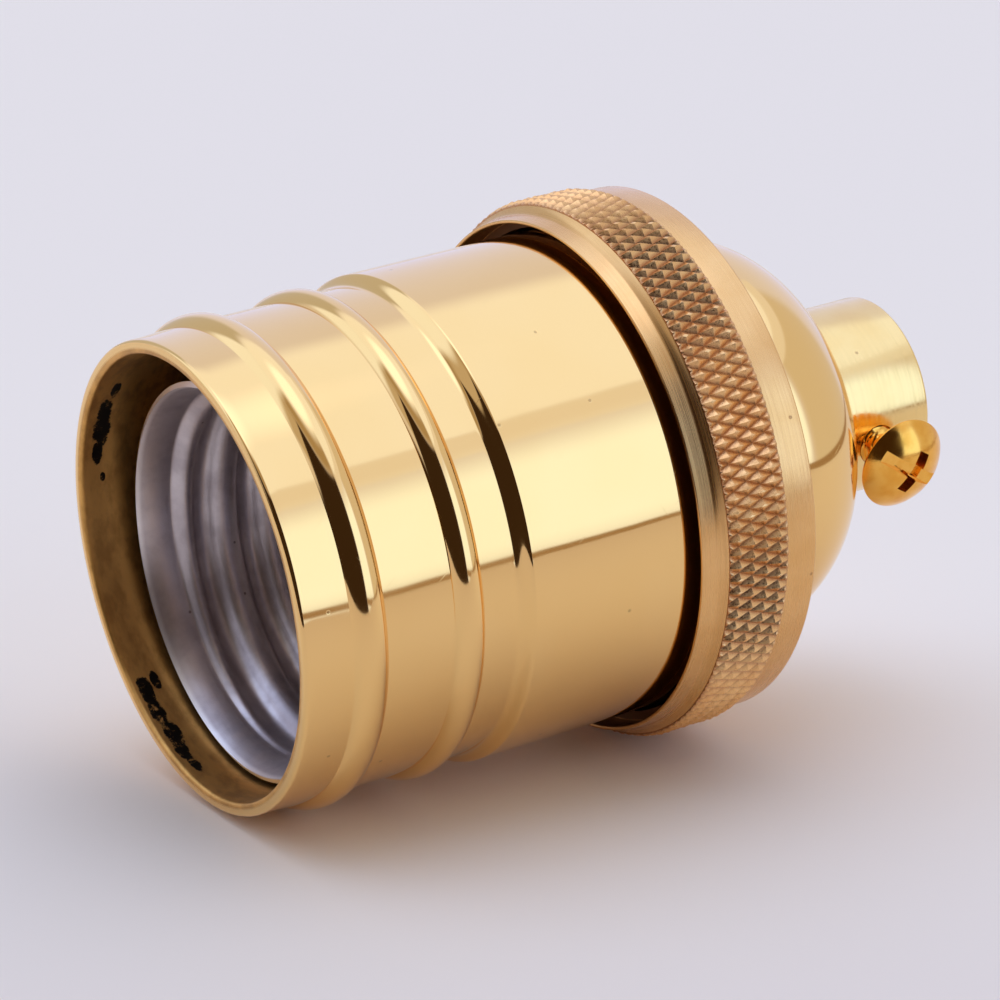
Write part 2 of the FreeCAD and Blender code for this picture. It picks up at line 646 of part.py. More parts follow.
def make_dome_cap():
    """Turned brass cap: a flange under the ring's lip, a short wall, the round dome and a flat
    for the neck bush."""
    outer_end = math.degrees(math.acos((NECK_SEAT_R - DOME_CENTRE_R) / DOME_ROUND))
    inner_round = DOME_ROUND - CAP_WALL
    inner_end = math.degrees(math.asin((DOME_CEILING_Z - DOME_START_Z) / inner_round))
    hole_r = NECK_TAIL_R + FIT_CLEARANCE
    return turned(
        (CAP_R - CAP_WALL, CORE_REAR_Z),
        (FLANGE_R, CORE_REAR_Z),
        (FLANGE_R, FLANGE_TOP_Z),
        (CAP_R, FLANGE_TOP_Z),
        (CAP_R, DOME_START_Z),
        (dome_point(DOME_ROUND, outer_end / 2), dome_point(DOME_ROUND, outer_end)),
        (hole_r, DOME_TOP_Z),
        (hole_r, DOME_CEILING_Z),
        dome_point(inner_round, inner_end),
        (dome_point(inner_round, inner_end / 2), (CAP_R - CAP_WALL, DOME_START_Z)),
    )


# --- Knurled ring ---------------------------------------------------------------------------
def knurl_point(column, row):
    """Corner or point of the diamond pattern. Both counts run in half steps: even sums are the
    points of the pyramids, odd sums their lower corners."""
    tip = (column + row) % 2 == 0
    radius = KNURL_TIP_R if tip else KNURL_TIP_R - KNURL_DEPTH
    x, y = polar(radius, 180.0 * column / KNURL_COUNT)
    middle = KNURL_START_Z + KNURL_WIDTH / 2
    return Vector(x, y, middle + (row - 1.5) * KNURL_ROW_PITCH)


def clip(points, limit, sign):
    """The part of a flat polygon on one side of a level."""
    kept = []
    for here, there in zip(points, points[1:] + points[:1]):
        here_in = sign * (here.z - limit) >= 0
        there_in = sign * (there.z - limit) >= 0
        if here_in:
            kept.append(here)
        if here_in != there_in:
            share = (limit - here.z) / (there.z - here.z)
            kept.append(here + (there - here) * share)
    return kept


def knurl_facets():
    """Four flat sides for every pyramid, clipped to the knurled width."""
    low = KNURL_START_Z
    high = KNURL_START_Z + KNURL_WIDTH
    reach = int(math.ceil(KNURL_WIDTH / KNURL_ROW_PITCH / 2)) + 2
    facets = []
    for row in range(1 - reach, 2 + reach):
        for column in range(row % 2, 2 * KNURL_COUNT, 2):
            tip = knurl_point(column, row)
            ring = [knurl_point(column + 1, row), knurl_point(column, row + 1),
                    knurl_point(column - 1, row), knurl_point(column, row - 1)]
            for first, second in zip(ring, ring[1:] + ring[:1]):
                flat = clip(clip([tip, first, second], low, 1), high, -1)
                if len(flat) >= 3:
                    facets.append(flat)
    return facets


def knurl_edge(facets, level):
    """Corners of the knurl on one of its two end planes, in order around the axis."""
    corners = {}
    for flat in facets:
        for point in flat:
            if abs(point.z - level) < 1e-6:
                angle = round(math.degrees(math.atan2(point.y, point.x)) % 360, 4) % 360
                corners[angle] = point
    return [corners[angle] for angle in sorted(corners)]


def knurl_band():
    """Closed band with the diamond knurl outside and a plain bore."""
    facets = knurl_facets()
    bore_r = KNURL_TIP_R - KNURL_DEPTH - KNURL_ROOT_BAND
    faces = [Part.Face(Part.makePolygon(flat + [flat[0]])) for flat in facets]
    for level in (KNURL_START_Z, KNURL_START_Z + KNURL_WIDTH):
        corners = knurl_edge(facets, level)
        outer = Part.Face(Part.makePolygon(corners + [corners[0]]))
        inner = Part.Face(Part.Wire(Part.makeCircle(bore_r, Vector(0, 0, level))))
        faces.extend(outer.cut(inner).Faces)
    tube = Part.makeCylinder(bore_r, KNURL_WIDTH, Vector(0, 0, KNURL_START_Z))
    faces.append([face for face in tube.Faces if face.Surface.TypeId == "Part::GeomCylinder"][0])
    return closed_solid(faces)


def ring_blank():
    """Ring without its knurl: wide bore in front, threaded bore, and a lip behind the flange."""
    end_z = KNURL_START_Z + KNURL_WIDTH
    groove_z = KNURL_START_Z - RING_GROOVE_WIDTH
    seat_r = KNURL_TIP_R - KNURL_DEPTH - KNURL_ROOT_BAND / 2
    return turned(
        (RING_MOUTH_R, RING_FRONT_Z),
        (RING_FRONT_LAND_R - RING_EDGE, RING_FRONT_Z),
        (RING_FRONT_LAND_R, RING_FRONT_Z + RING_EDGE),
        (RING_FRONT_LAND_R, groove_z),
        (RING_FRONT_LAND_R - RING_GROOVE_DEPTH, groove_z),
        (RING_FRONT_LAND_R - RING_GROOVE_DEPTH, KNURL_START_Z),
        (seat_r, KNURL_START_Z),
        (seat_r, end_z),
        (RING_REAR_LAND_R, end_z),
        (RING_REAR_LAND_R, RING_REAR_Z - RING_EDGE),
        (RING_REAR_LAND_R - RING_EDGE, RING_REAR_Z),
        (RING_REAR_BORE_R, RING_REAR_Z),
        (RING_REAR_BORE_R, RING_LIP_Z),
        (RING_THREAD_R, RING_LIP_Z),
        (RING_THREAD_R, RING_THREAD_START_Z),
        (RING_MOUTH_R, RING_THREAD_START_Z),
    )


def make_knurled_ring():
    return ring_blank().fuse(knurl_band())


# --- Neck bush, nut and earth terminal ------------------------------------------------------
def make_neck_bush():
    """Turned bush on the dome's flat, its tail through the dome, bored M10 x 1 all through."""
    bush = turned(
        (NECK_BORE_R, NECK_TAIL_END_Z),
        (NECK_TAIL_R, NECK_TAIL_END_Z),
        (NECK_TAIL_R, DOME_TOP_Z),
        (NECK_R, DOME_TOP_Z),
        (NECK_R, NECK_END_Z - NECK_EDGE),
        (NECK_R - NECK_EDGE, NECK_END_Z),
        (NECK_BORE_R + NECK_BORE_CHAMFER, NECK_END_Z),
        (NECK_BORE_R, NECK_END_Z - NECK_BORE_CHAMFER),
    )
    hole = Part.makeCylinder(LOCK_SCREW_R + FIT_CLEARANCE, NECK_R + OVERCUT,
                             Vector(0, 0, LOCK_SCREW_Z), Vector(1, 0, 0))
    return bush.cut(hole)


def make_neck_nut():
    """Thin hexagon nut with bevelled corners."""
    top = DOME_CEILING_Z - BRACKET_THICK
    low = top - NUT_THICK
    corner_r = NUT_FLATS / math.sqrt(3)
    corners = [Vector(*polar(corner_r, 60 * step), low) for step in range(6)]
    prism = Part.Face(Part.makePolygon(corners + [corners[0]])).extrude(Vector(0, 0, NUT_THICK))
    round_r = corner_r + OVERCUT
    bevel_z = low + NUT_BEVEL * (round_r - NUT_FLATS / 2) / (corner_r - NUT_FLATS / 2)
    bevel = turned((0, low), (NUT_FLATS / 2, low), (round_r, bevel_z), (round_r, top), (0, top))
    hole = drum(NECK_TAIL_R + FIT_CLEARANCE, low - OVERCUT, top + OVERCUT)
    return prism.common(bevel).cut(hole)


def bracket_side():
    """Outer side outline of the bracket's strip in YZ: washer, bend, leg and foot."""
    high = DOME_CEILING_Z
    leg = BRACKET_LEG_Y
    bend = BRACKET_BEND_R
    q = bend * (1 - math.sqrt(0.5))
    thick = BRACKET_THICK
    foot_end = leg - BRACKET_FOOT_REACH
    small = bend - thick
    points = (
        Part.makeLine(Vector(0, 0, high), Vector(0, leg - bend, high)),
        Part.Arc(Vector(0, leg - bend, high), Vector(0, leg - q, high - q),
                 Vector(0, leg, high - bend)).toShape(),
        Part.makeLine(Vector(0, leg, high - bend), Vector(0, leg, BRACKET_FOOT_Z)),
        Part.makeLine(Vector(0, leg, BRACKET_FOOT_Z), Vector(0, foot_end, BRACKET_FOOT_Z)),
        Part.makeLine(Vector(0, foot_end, BRACKET_FOOT_Z), Vector(0, foot_end, BRACKET_FOOT_Z + thick)),
        Part.makeLine(Vector(0, foot_end, BRACKET_FOOT_Z + thick),
                      Vector(0, leg - thick, BRACKET_FOOT_Z + thick)),
        Part.makeLine(Vector(0, leg - thick, BRACKET_FOOT_Z + thick), Vector(0, leg - thick, high - bend)),
        Part.Arc(Vector(0, leg - thick, high - bend),
                 Vector(0, leg - bend + small * math.sqrt(0.5), high - bend + small * math.sqrt(0.5)),
                 Vector(0, leg - bend, high - thick)).toShape(),
        Part.makeLine(Vector(0, leg - bend, high - thick), Vector(0, 0, high - thick)),
        Part.makeLine(Vector(0, 0, high - thick), Vector(0, 0, high)),
    )
    return Part.Face(Part.Wire(points))


def make_earth_bracket():
    """Washer under the neck nut with a strip that comes down to carry the earth screw."""
    strip = bracket_side()
    strip.translate(Vector(-BRACKET_WIDTH / 2, 0, 0))
    strip = strip.extrude(Vector(BRACKET_WIDTH, 0, 0))
    tag = drum(BRACKET_WASHER_R, DOME_CEILING_Z - BRACKET_THICK, DOME_CEILING_Z)
    bore = drum(NECK_TAIL_R + FIT_CLEARANCE, DOME_CEILING_Z - BRACKET_THICK - OVERCUT,
                DOME_CEILING_Z + OVERCUT)
    tapped = drum(TERMINAL_SCREW_R + FIT_CLEARANCE, BRACKET_FOOT_Z - OVERCUT,
                  BRACKET_FOOT_Z + BRACKET_THICK + OVERCUT, 0, EARTH_SCREW_Y)
    return tag.fuse(strip).cut([bore, tapped]).removeSplitter()


def make_earth_screw():
    """Slotted screw driven from below, with its head towards the core."""
    screw = clamp_screw(TERMINAL_SCREW_R, EARTH_SCREW_LENGTH, EARTH_HEAD_R, EARTH_HEAD_THICK)
    screw.rotate(ORIGIN, Vector(1, 0, 0), 180)
    screw.translate(Vector(0, EARTH_SCREW_Y, BRACKET_FOOT_Z - EARTH_WASHER_THICK))
    return screw


def make_earth_washer():
    """Cup washer between the earth screw's head and the bracket's foot."""
    low = BRACKET_FOOT_Z - EARTH_WASHER_THICK
    floor = low + EARTH_WASHER_FLOOR
    hole_r = TERMINAL_SCREW_R + FIT_CLEARANCE
    cup_r = EARTH_WASHER_R - EARTH_WASHER_LIP
    washer = turned((hole_r, low), (EARTH_WASHER_R - EARTH_WASHER_EDGE, low),
                    (EARTH_WASHER_R, low + EARTH_WASHER_EDGE), (EARTH_WASHER_R, BRACKET_FOOT_Z),
                    (cup_r, BRACKET_FOOT_Z), (cup_r, floor), (hole_r, floor))
    washer.translate(Vector(0, EARTH_SCREW_Y, 0))
    return washer


# --- Lock screw -----------------------------------------------------------------------------
def cross_recess(thick):
    """Tapered cross cut into the middle of a head."""
    floor_reach = CROSS_REACH * CROSS_TAPER
    floor_half = CROSS_WIDTH / 2 * CROSS_THINNING
    arms = []
    for turn in (0, 90):
        arm = Part.makeWedge(-floor_reach, 0, -floor_half, -CROSS_WIDTH / 2, -CROSS_REACH,
                             floor_reach, CROSS_DEPTH, floor_half, CROSS_WIDTH / 2, CROSS_REACH)
        arm.rotate(ORIGIN, Vector(1, 0, 0), 90)
        arm.translate(Vector(0, 0, thick - CROSS_DEPTH))
        arm.rotate(ORIGIN, AXIS_Z, turn)
        arms.append(arm)
    return arms


def make_lock_screw():
    """Domed screw across the neck, with a straight slot and a cross in its head."""
    tip_x = NECK_BORE_R + LOCK_TIP_RETREAT
    head = domed_head(LOCK_HEAD_R, LOCK_HEAD_THICK, LOCK_HEAD_SIDE)
    slot = slot_cut(LOCK_HEAD_R, LOCK_HEAD_THICK, LOCK_SLOT_WIDTH, SLOT_DEPTH)
    head = head.cut([slot] + cross_recess(LOCK_HEAD_THICK))
    head.rotate(ORIGIN, AXIS_Z, LOCK_DRIVE_DEG)
    screw = head.fuse(shank(LOCK_SCREW_R, LOCK_HEAD_X - tip_x)).removeSplitter()
    screw.rotate(ORIGIN, Vector(0, 1, 0), 90)
    screw.translate(Vector(LOCK_HEAD_X, 0, LOCK_SCREW_Z))
    return screw


# --- All pieces -----------------------------------------------------------------------------
def pieces():
    return {
        "sleeve": make_sleeve(),
        "screw_shell": make_screw_shell(),
        "ceramic_core": make_ceramic_core(),
        "live_rivet": make_live_rivet(),
        "neutral_rivet": make_neutral_rivet(),
        "shell_rivets": make_shell_rivets(),
        "live_terminal": make_live_terminal(),
        "neutral_terminal": make_neutral_terminal(),
        "live_terminal_screw": terminal_screw(LIVE_SCREW_X),
        "neutral_terminal_screw": terminal_screw(NEUTRAL_SCREW_X),
        "live_clamp_washer": clamp_washer(LIVE_SCREW_X),
        "neutral_clamp_washer": clamp_washer(NEUTRAL_SCREW_X),
        "centre_contact": make_centre_contact(),
        "contact_button": make_contact_button(),
        "dome_cap": make_dome_cap(),
        "knurled_ring": make_knurled_ring(),
        "neck_bush": make_neck_bush(),
        "neck_nut": make_neck_nut(),
        "earth_bracket": make_earth_bracket(),
        "earth_screw": make_earth_screw(),
        "earth_washer": make_earth_washer(),
        "lock_screw": make_lock_screw(),
    }


def main():
    os.makedirs("parts", exist_ok=True)
    for name, shape in pieces().items():
        shape.exportStep(os.path.join("parts", name + ".step"))


main()
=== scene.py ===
import math

import bmesh
import bpy
import numpy as np
from mathutils import Matrix, Vector


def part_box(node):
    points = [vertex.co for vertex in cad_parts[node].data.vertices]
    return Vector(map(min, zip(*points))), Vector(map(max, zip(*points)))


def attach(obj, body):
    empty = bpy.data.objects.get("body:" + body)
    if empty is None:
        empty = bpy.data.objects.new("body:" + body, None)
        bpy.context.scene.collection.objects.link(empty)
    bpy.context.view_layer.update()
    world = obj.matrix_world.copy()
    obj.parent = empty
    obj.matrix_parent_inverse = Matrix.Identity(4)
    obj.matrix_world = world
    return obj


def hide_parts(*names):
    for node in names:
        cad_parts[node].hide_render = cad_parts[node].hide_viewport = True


# The lamp holder's looks. Sections are in millimetres in the row frame: the mouth's rim is z = 0,
# +Z runs to the neck and +X out along the lock screw. Meshes are scaled to metres once made.

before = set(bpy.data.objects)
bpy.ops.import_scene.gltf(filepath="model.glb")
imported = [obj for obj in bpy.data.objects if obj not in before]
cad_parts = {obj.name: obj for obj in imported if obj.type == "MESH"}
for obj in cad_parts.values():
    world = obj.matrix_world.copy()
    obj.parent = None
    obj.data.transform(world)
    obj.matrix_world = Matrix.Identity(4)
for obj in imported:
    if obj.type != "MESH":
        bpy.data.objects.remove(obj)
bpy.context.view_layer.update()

MM = 0.001
TURN = 2 * math.pi


def node_span(name):
    """Largest radius and lowest and highest z of a CAD node, in millimetres."""
    low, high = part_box(name)
    return high.x / MM, low.z / MM, high.z / MM


# Up from the floor that the holder lies on.
FLOOR_UP = Vector((-0.2224, -0.9710, 0.0875)).normalized()

BODY_R, _, SLEEVE_END = node_span("sleeve")
SHELL_LIP_R, SHELL_LIP_Z, SHELL_BASE_Z = node_span("screw_shell")
KNURL_R, RING_FRONT, RING_REAR = node_span("knurled_ring")
FLANGE_R, CAP_FRONT, DOME_TOP = node_span("dome_cap")
NECK_R, NECK_LOW, NECK_END = node_span("neck_bush")


# --- Meshes ---------------------------------------------------------------------------------
def line(start, end, steps):
    """Points from start up to but not including end."""
    return [(start[0] + (end[0] - start[0]) * k / steps, start[1] + (end[1] - start[1]) * k / steps)
            for k in range(steps)]


def arc(centre, radius, from_deg, to_deg, steps):
    """Points of an arc in the section's plane, both ends included."""
    points = []
    for k in range(steps + 1):
        a = math.radians(from_deg + (to_deg - from_deg) * k / steps)
        points.append((centre[0] + radius * math.cos(a), centre[1] + radius * math.sin(a)))
    return points


def rounded(points, radius, closed=True):
    """The outline with its sharp corners rounded off by small arcs."""
    made = []
    count = len(points)
    for i, (r, z) in enumerate(points):
        if not closed and i in (0, count - 1):
            made.append((r, z))
            continue
        here = Vector((r, z))
        back = Vector(points[i - 1]) - here
        ahead = Vector(points[(i + 1) % count]) - here
        turn = math.pi - back.angle(ahead)
        if turn < math.radians(20):
            made.append((r, z))
            continue
        cut = min(radius * math.tan(turn / 2), 0.4 * back.length, 0.4 * ahead.length)
        a = here + back.normalized() * cut
        b = here + ahead.normalized() * cut
        for k in range(5):
            t = k / 4
            p = a * (1 - t) ** 2 + here * 2 * t * (1 - t) + b * t * t
            made.append((p.x, p.y))
    return made


def finish_mesh(name, verts, faces, sharp_deg):
    """Object from vertices in millimetres, smooth but for its sharp edges, facing outwards."""
    mesh = bpy.data.meshes.new(name)
    mesh.from_pydata((np.asarray(verts) * MM).tolist(), [], faces)
    work = bmesh.new()
    work.from_mesh(mesh)
    bmesh.ops.remove_doubles(work, verts=work.verts, dist=1e-7)
    bmesh.ops.recalc_face_normals(work, faces=work.faces)
    if work.calc_volume(signed=True) < 0:
        bmesh.ops.reverse_faces(work, faces=work.faces)
    work.to_mesh(mesh)
    work.free()
    mesh.shade_smooth()
    mesh.set_sharp_from_angle(angle=math.radians(sharp_deg))
    made = bpy.data.objects.new(name, mesh)
    bpy.context.scene.collection.objects.link(made)
    return made


def spun(name, section, columns, shape=None, closed=True, sharp_deg=32):
    """Turned piece: the section's (r, z) points carried round Z. shape may change the radii and
    heights at each angle, as a thread does."""
    points = np.array(section, float)
    angle = np.linspace(0, TURN, columns, endpoint=False)[:, None]
    r = np.repeat(points[None, :, 0], columns, 0)
    z = np.repeat(points[None, :, 1], columns, 0)
    if shape:
        r, z = shape(r, z, angle)
    verts = np.stack([r * np.cos(angle), r * np.sin(angle), z], 2).reshape(-1, 3)
    rows = len(points)
    faces = []
    for c in range(columns):
        here = c * rows
        there = (c + 1) % columns * rows
        for k in range(rows if closed else rows - 1):
            up = (k + 1) % rows
            faces.append((here + k, there + k, there + up, here + up))
    return finish_mesh(name, verts, faces, sharp_deg)


def vee_thread(pitch, depth, low, high, inside, radius):
    """Shape of a fine right-hand thread cut into the wall at one radius, between two heights.
    inside: the wall is a bore, and the grooves go outwards."""
    def shape(r, z, angle):
        wall = (np.abs(r - radius) < 0.02) & (z > low) & (z < high)
        turns = z / pitch - angle / TURN
        groove = np.abs(turns - np.round(turns)) * 2
        groove = np.clip(1.25 * groove - 0.12, 0, 1)
        fade = np.clip(np.minimum(z - low, high - z) / pitch, 0, 1)
        change = np.where(wall, groove * fade * depth, 0)
        return (r + change if inside else r - change), z
    return shape


def cut_away(target, cutter):
    """Boolean difference, applied, and the cutter removed."""
    tool = target.modifiers.new("cut", "BOOLEAN")
    tool.operation = "DIFFERENCE"
    tool.solver = "EXACT"
    tool.object = cutter
    view = bpy.context.evaluated_depsgraph_get()
    result = bpy.data.meshes.new_from_object(target.evaluated_get(view))
    target.modifiers.clear()
    target.data = result
    result.shade_smooth()
    result.set_sharp_from_angle(angle=math.radians(32))
    bpy.data.objects.remove(cutter)


def wedge_block(size, taper, place, rotation):
    """Cutter: a box, narrower at its low end by taper, in millimetres."""
    x, y, z = (s / 2 for s in size)
    verts = []
    for level, share in ((-z, taper), (z, 1.0)):
        verts += [(-x * share, -y * share, level), (x * share, -y * share, level),
                  (x * share, y * share, level), (-x * share, y * share, level)]
    verts = [rotation @ (Vector(v) + Vector(place)) for v in verts]
    faces = [(3, 2, 1, 0), (4, 5, 6, 7), (0, 1, 5, 4), (1, 2, 6, 5), (2, 3, 7, 6), (3, 0, 4, 7)]
    return finish_mesh("cutter", verts, faces, 32)


# --- Materials ------------------------------------------------------------------------------
def add(tree, kind, inputs=None, **settings):
    made = tree.nodes.new(kind)
    for key, value in settings.items():
        setattr(made, key, value)
    for key, value in (inputs or {}).items():
        if isinstance(value, bpy.types.NodeSocket):
            tree.links.new(value, made.inputs[key])
        else:
            made.inputs[key].default_value = value
    return made


def calc(tree, operation, a, b=0.0, c=0.0):
    return add(tree, "ShaderNodeMath", {0: a, 1: b, 2: c}, operation=operation).outputs[0]


def ramp(tree, value, low, high, to_low=0.0, to_high=1.0):
    """Smooth step of a value between two limits."""
    made = add(tree, "ShaderNodeMapRange", {"Value": value}, interpolation_type="SMOOTHSTEP")
    made.inputs["From Min"].default_value = low
    made.inputs["From Max"].default_value = high
    made.inputs["To Min"].default_value = to_low
    made.inputs["To Max"].default_value = to_high
    return made.outputs["Result"]


def mix(tree, factor, a, b):
    """Colour a where the factor is 0, colour b where it is 1."""
    made = add(tree, "ShaderNodeMix", data_type="RGBA")
    for slot, value in ((0, factor), (6, a), (7, b)):
        if isinstance(value, bpy.types.NodeSocket):
            tree.links.new(value, made.inputs[slot])
        else:
            made.inputs[slot].default_value = value
    return made.outputs[2]


def scaled(tree, vector, scale):
    return add(tree, "ShaderNodeVectorMath", {0: vector, 1: scale}, operation="MULTIPLY").outputs[0]


def noise(tree, vector, scale, detail=2.0, rough=0.5):
    return add(tree, "ShaderNodeTexNoise",
               {"Vector": vector, "Scale": scale, "Detail": detail, "Roughness": rough}).outputs["Fac"]


def polar_place(tree, place, radius):
    """Radius from the axis, and a flat vector of the length round it and the height, in metres."""
    parts = add(tree, "ShaderNodeSeparateXYZ", {0: place})
    x, y, z = parts.outputs
    r = calc(tree, "SQRT", calc(tree, "ADD", calc(tree, "MULTIPLY", x, x), calc(tree, "MULTIPLY", y, y)))
    around = calc(tree, "MULTIPLY", calc(tree, "ARCTAN2", y, x), radius)
    flat = add(tree, "ShaderNodeCombineXYZ", {0: around, 1: z}).outputs[0]
    return r, flat


def scratches(tree, flat, angle_deg, across, along, rarity):
    """Thin short lines at one slant: 1 on a line, 0 elsewhere."""
    turned_by = add(tree, "ShaderNodeVectorRotate", {"Vector": flat, "Angle": math.radians(angle_deg)},
                    rotation_type="Z_AXIS").outputs[0]
    streaks = noise(tree, scaled(tree, turned_by, (across, along, 1)), 1.0, 1.0)
    return ramp(tree, streaks, rarity, rarity + 0.03)


def spots(tree, flat, scale, size, rarity):
    """Round pits, some of a net of cells: 1 in a pit, 0 elsewhere."""
    cells = add(tree, "ShaderNodeTexVoronoi", {"Vector": flat, "Scale": scale}, voronoi_dimensions="2D")
    chosen = ramp(tree, add(tree, "ShaderNodeSeparateColor", {0: cells.outputs["Color"]}).outputs[0],
                  rarity, rarity + 0.01)
    return calc(tree, "MULTIPLY", chosen, ramp(tree, cells.outputs["Distance"], size, size * 0.5))


def bump(tree, height, distance, normal=None):
    made = add(tree, "ShaderNodeBump", {"Height": height, "Distance": distance})
    if normal is not None:
        tree.links.new(normal, made.inputs["Normal"])
    return made.outputs["Normal"]


def material(name):
    made = bpy.data.materials.new(name)
    made.use_nodes = True
    tree = made.node_tree
    tree.nodes.clear()
    surface = add(tree, "ShaderNodeBsdfPrincipled")
    out = add(tree, "ShaderNodeOutputMaterial")
    tree.links.new(surface.outputs[0], out.inputs["Surface"])
    place = add(tree, "ShaderNodeTexCoord").outputs["Object"]
    return made, tree, surface, place


def plug(tree, surface, **values):
    for key, value in values.items():
        socket = surface.inputs[key.replace("_", " ")]
        if isinstance(value, bpy.types.NodeSocket):
            tree.links.new(value, socket)
        else:
            socket.default_value = value


POLISHED = (0.95, 0.62, 0.24, 1)
TARNISHED = (0.76, 0.42, 0.12, 1)
SOOT = (0.018, 0.014, 0.010, 1)


def polished_brass(name, radius, inner_r=None):
    """Mirror-bright brass with faint turning lines, hairlines and a few pits. Inside inner_r it
    is dull and tarnished, with black smears."""
    made, tree, surface, place = material(name)
    r, flat = polar_place(tree, place, radius * MM)
    rings = noise(tree, scaled(tree, place, (30, 30, 5200)), 1.0, 3.0)
    drift = noise(tree, place, 120.0, 2.0)
    marks = calc(tree, "MAXIMUM", scratches(tree, flat, 62, 9000, 210, 0.750),
                 scratches(tree, flat, -35, 8000, 260, 0.760))
    pits = spots(tree, flat, 330, 0.055, 0.93)
    height = calc(tree, "SUBTRACT", calc(tree, "MULTIPLY", rings, 0.35), calc(tree, "MULTIPLY", marks, 0.6))
    height = calc(tree, "SUBTRACT", height, calc(tree, "MULTIPLY", pits, 6.0))
    normal = bump(tree, drift, 0.00003)
    normal = bump(tree, height, 0.0000011, normal)
    rough = calc(tree, "ADD", ramp(tree, drift, 0.3, 0.7, 0.05, 0.085), calc(tree, "MULTIPLY", marks, 0.10))
    colour = mix(tree, ramp(tree, drift, 0.35, 0.65, 0.0, 0.25), POLISHED, (0.93, 0.58, 0.20, 1))
    colour = mix(tree, calc(tree, "MULTIPLY", pits, 0.55), colour, (0.45, 0.27, 0.10, 1))
    if inner_r:
        inside = ramp(tree, r, (inner_r + 0.55) * MM, (inner_r + 0.30) * MM)
        cloud = noise(tree, scaled(tree, place, (1, 1, 2.4)), 420.0, 5.0, 0.62)
        dull = mix(tree, ramp(tree, cloud, 0.38, 0.66), TARNISHED, (0.55, 0.29, 0.08, 1))
        smear = smears(tree, flat, place)
        dull = mix(tree, smear, dull, SOOT)
        colour = mix(tree, inside, colour, dull)
        rough = calc(tree, "ADD", calc(tree, "MULTIPLY", inside, 0.36), rough)
    plug(tree, surface, Base_Color=colour, Metallic=1.0, Roughness=rough, Normal=normal)
    return made


# Black smears inside the mouth: degrees round the axis and height of the centre, then half the
# degrees covered and half the height.
SMEARS = (
    (-152, 1.9, 5, 0.5), (-160, 1.5, 7, 0.8), (-167, 1.5, 8, 1.0), (-174, 1.3, 6, 0.6),
    (178, 1.75, 2, 0.3), (119, 1.0, 6, 0.8), (112, 1.0, 6, 0.8), (104, 1.2, 7, 0.9),
    (98, 1.0, 6, 0.7), (92, 1.1, 6, 0.5), (121, 2.0, 4, 0.5))


def smears(tree, flat, place):
    """1 in a smear, 0 elsewhere. flat measures the way round at the body's radius."""
    parts = add(tree, "ShaderNodeSeparateXYZ", {0: flat})
    broken = noise(tree, place, 1500.0, 6.0, 0.75)
    total = None
    for degrees, z, half_degrees, half_z in SMEARS:
        centre = math.radians(degrees) * BODY_R * MM
        half = math.radians(half_degrees) * BODY_R * MM
        du = calc(tree, "DIVIDE", calc(tree, "SUBTRACT", parts.outputs[0], centre), half)
        dv = calc(tree, "DIVIDE", calc(tree, "SUBTRACT", parts.outputs[1], z * MM), half_z * MM)
        far = calc(tree, "ADD", calc(tree, "MULTIPLY", du, du), calc(tree, "MULTIPLY", dv, dv))
        near = ramp(tree, far, 1.1, 0.2)
        total = near if total is None else calc(tree, "MAXIMUM", total, near)
    return ramp(tree, calc(tree, "MULTIPLY", total, broken), 0.32, 0.45)


def turned_brass(name, colour_a, colour_b, rough_low, rough_high, line_scale, line_depth, radius,
                 painted_shade_r=None):
    """Brass as it leaves the lathe: fine lines round the axis, satin gloss, small dents. Inside the last
    radius, up to the union ring's lip, the bore is painted dark brown as shade where it wraps the sleeve."""
    made, tree, surface, place = material(name)
    r, flat = polar_place(tree, place, radius * MM)
    lines = noise(tree, scaled(tree, place, (60, 60, line_scale)), 1.0, 4.0, 0.6)
    drift = noise(tree, place, 260.0, 3.0)
    pits = spots(tree, flat, 420, 0.07, 0.92)
    normal = bump(tree, calc(tree, "SUBTRACT", lines, calc(tree, "MULTIPLY", pits, 3.0)), line_depth)
    colour = mix(tree, ramp(tree, drift, 0.3, 0.7), colour_a, colour_b)
    colour = mix(tree, calc(tree, "MULTIPLY", pits, 0.4), colour, (0.28, 0.15, 0.08, 1))
    rough = calc(tree, "ADD", ramp(tree, lines, 0.3, 0.7, rough_low, rough_high),
                 calc(tree, "MULTIPLY", pits, 0.2))
    # Painted shade: the ring's bore round the sleeve darkens to brown.
    if painted_shade_r:
        height = add(tree, "ShaderNodeSeparateXYZ", {0: place}).outputs[2]
        inside = calc(tree, "MULTIPLY", ramp(tree, r, (painted_shade_r + 0.10) * MM, (painted_shade_r - 0.10) * MM),
                      ramp(tree, height, (RING_LIP_Z + 0.4) * MM, (RING_LIP_Z + 0.2) * MM))
        colour = mix(tree, inside, colour, (0.16, 0.07, 0.025, 1))
        rough = calc(tree, "ADD", calc(tree, "MULTIPLY", inside, 0.25), rough)
    plug(tree, surface, Base_Color=colour, Metallic=1.0, Roughness=rough, Normal=normal)
    return made


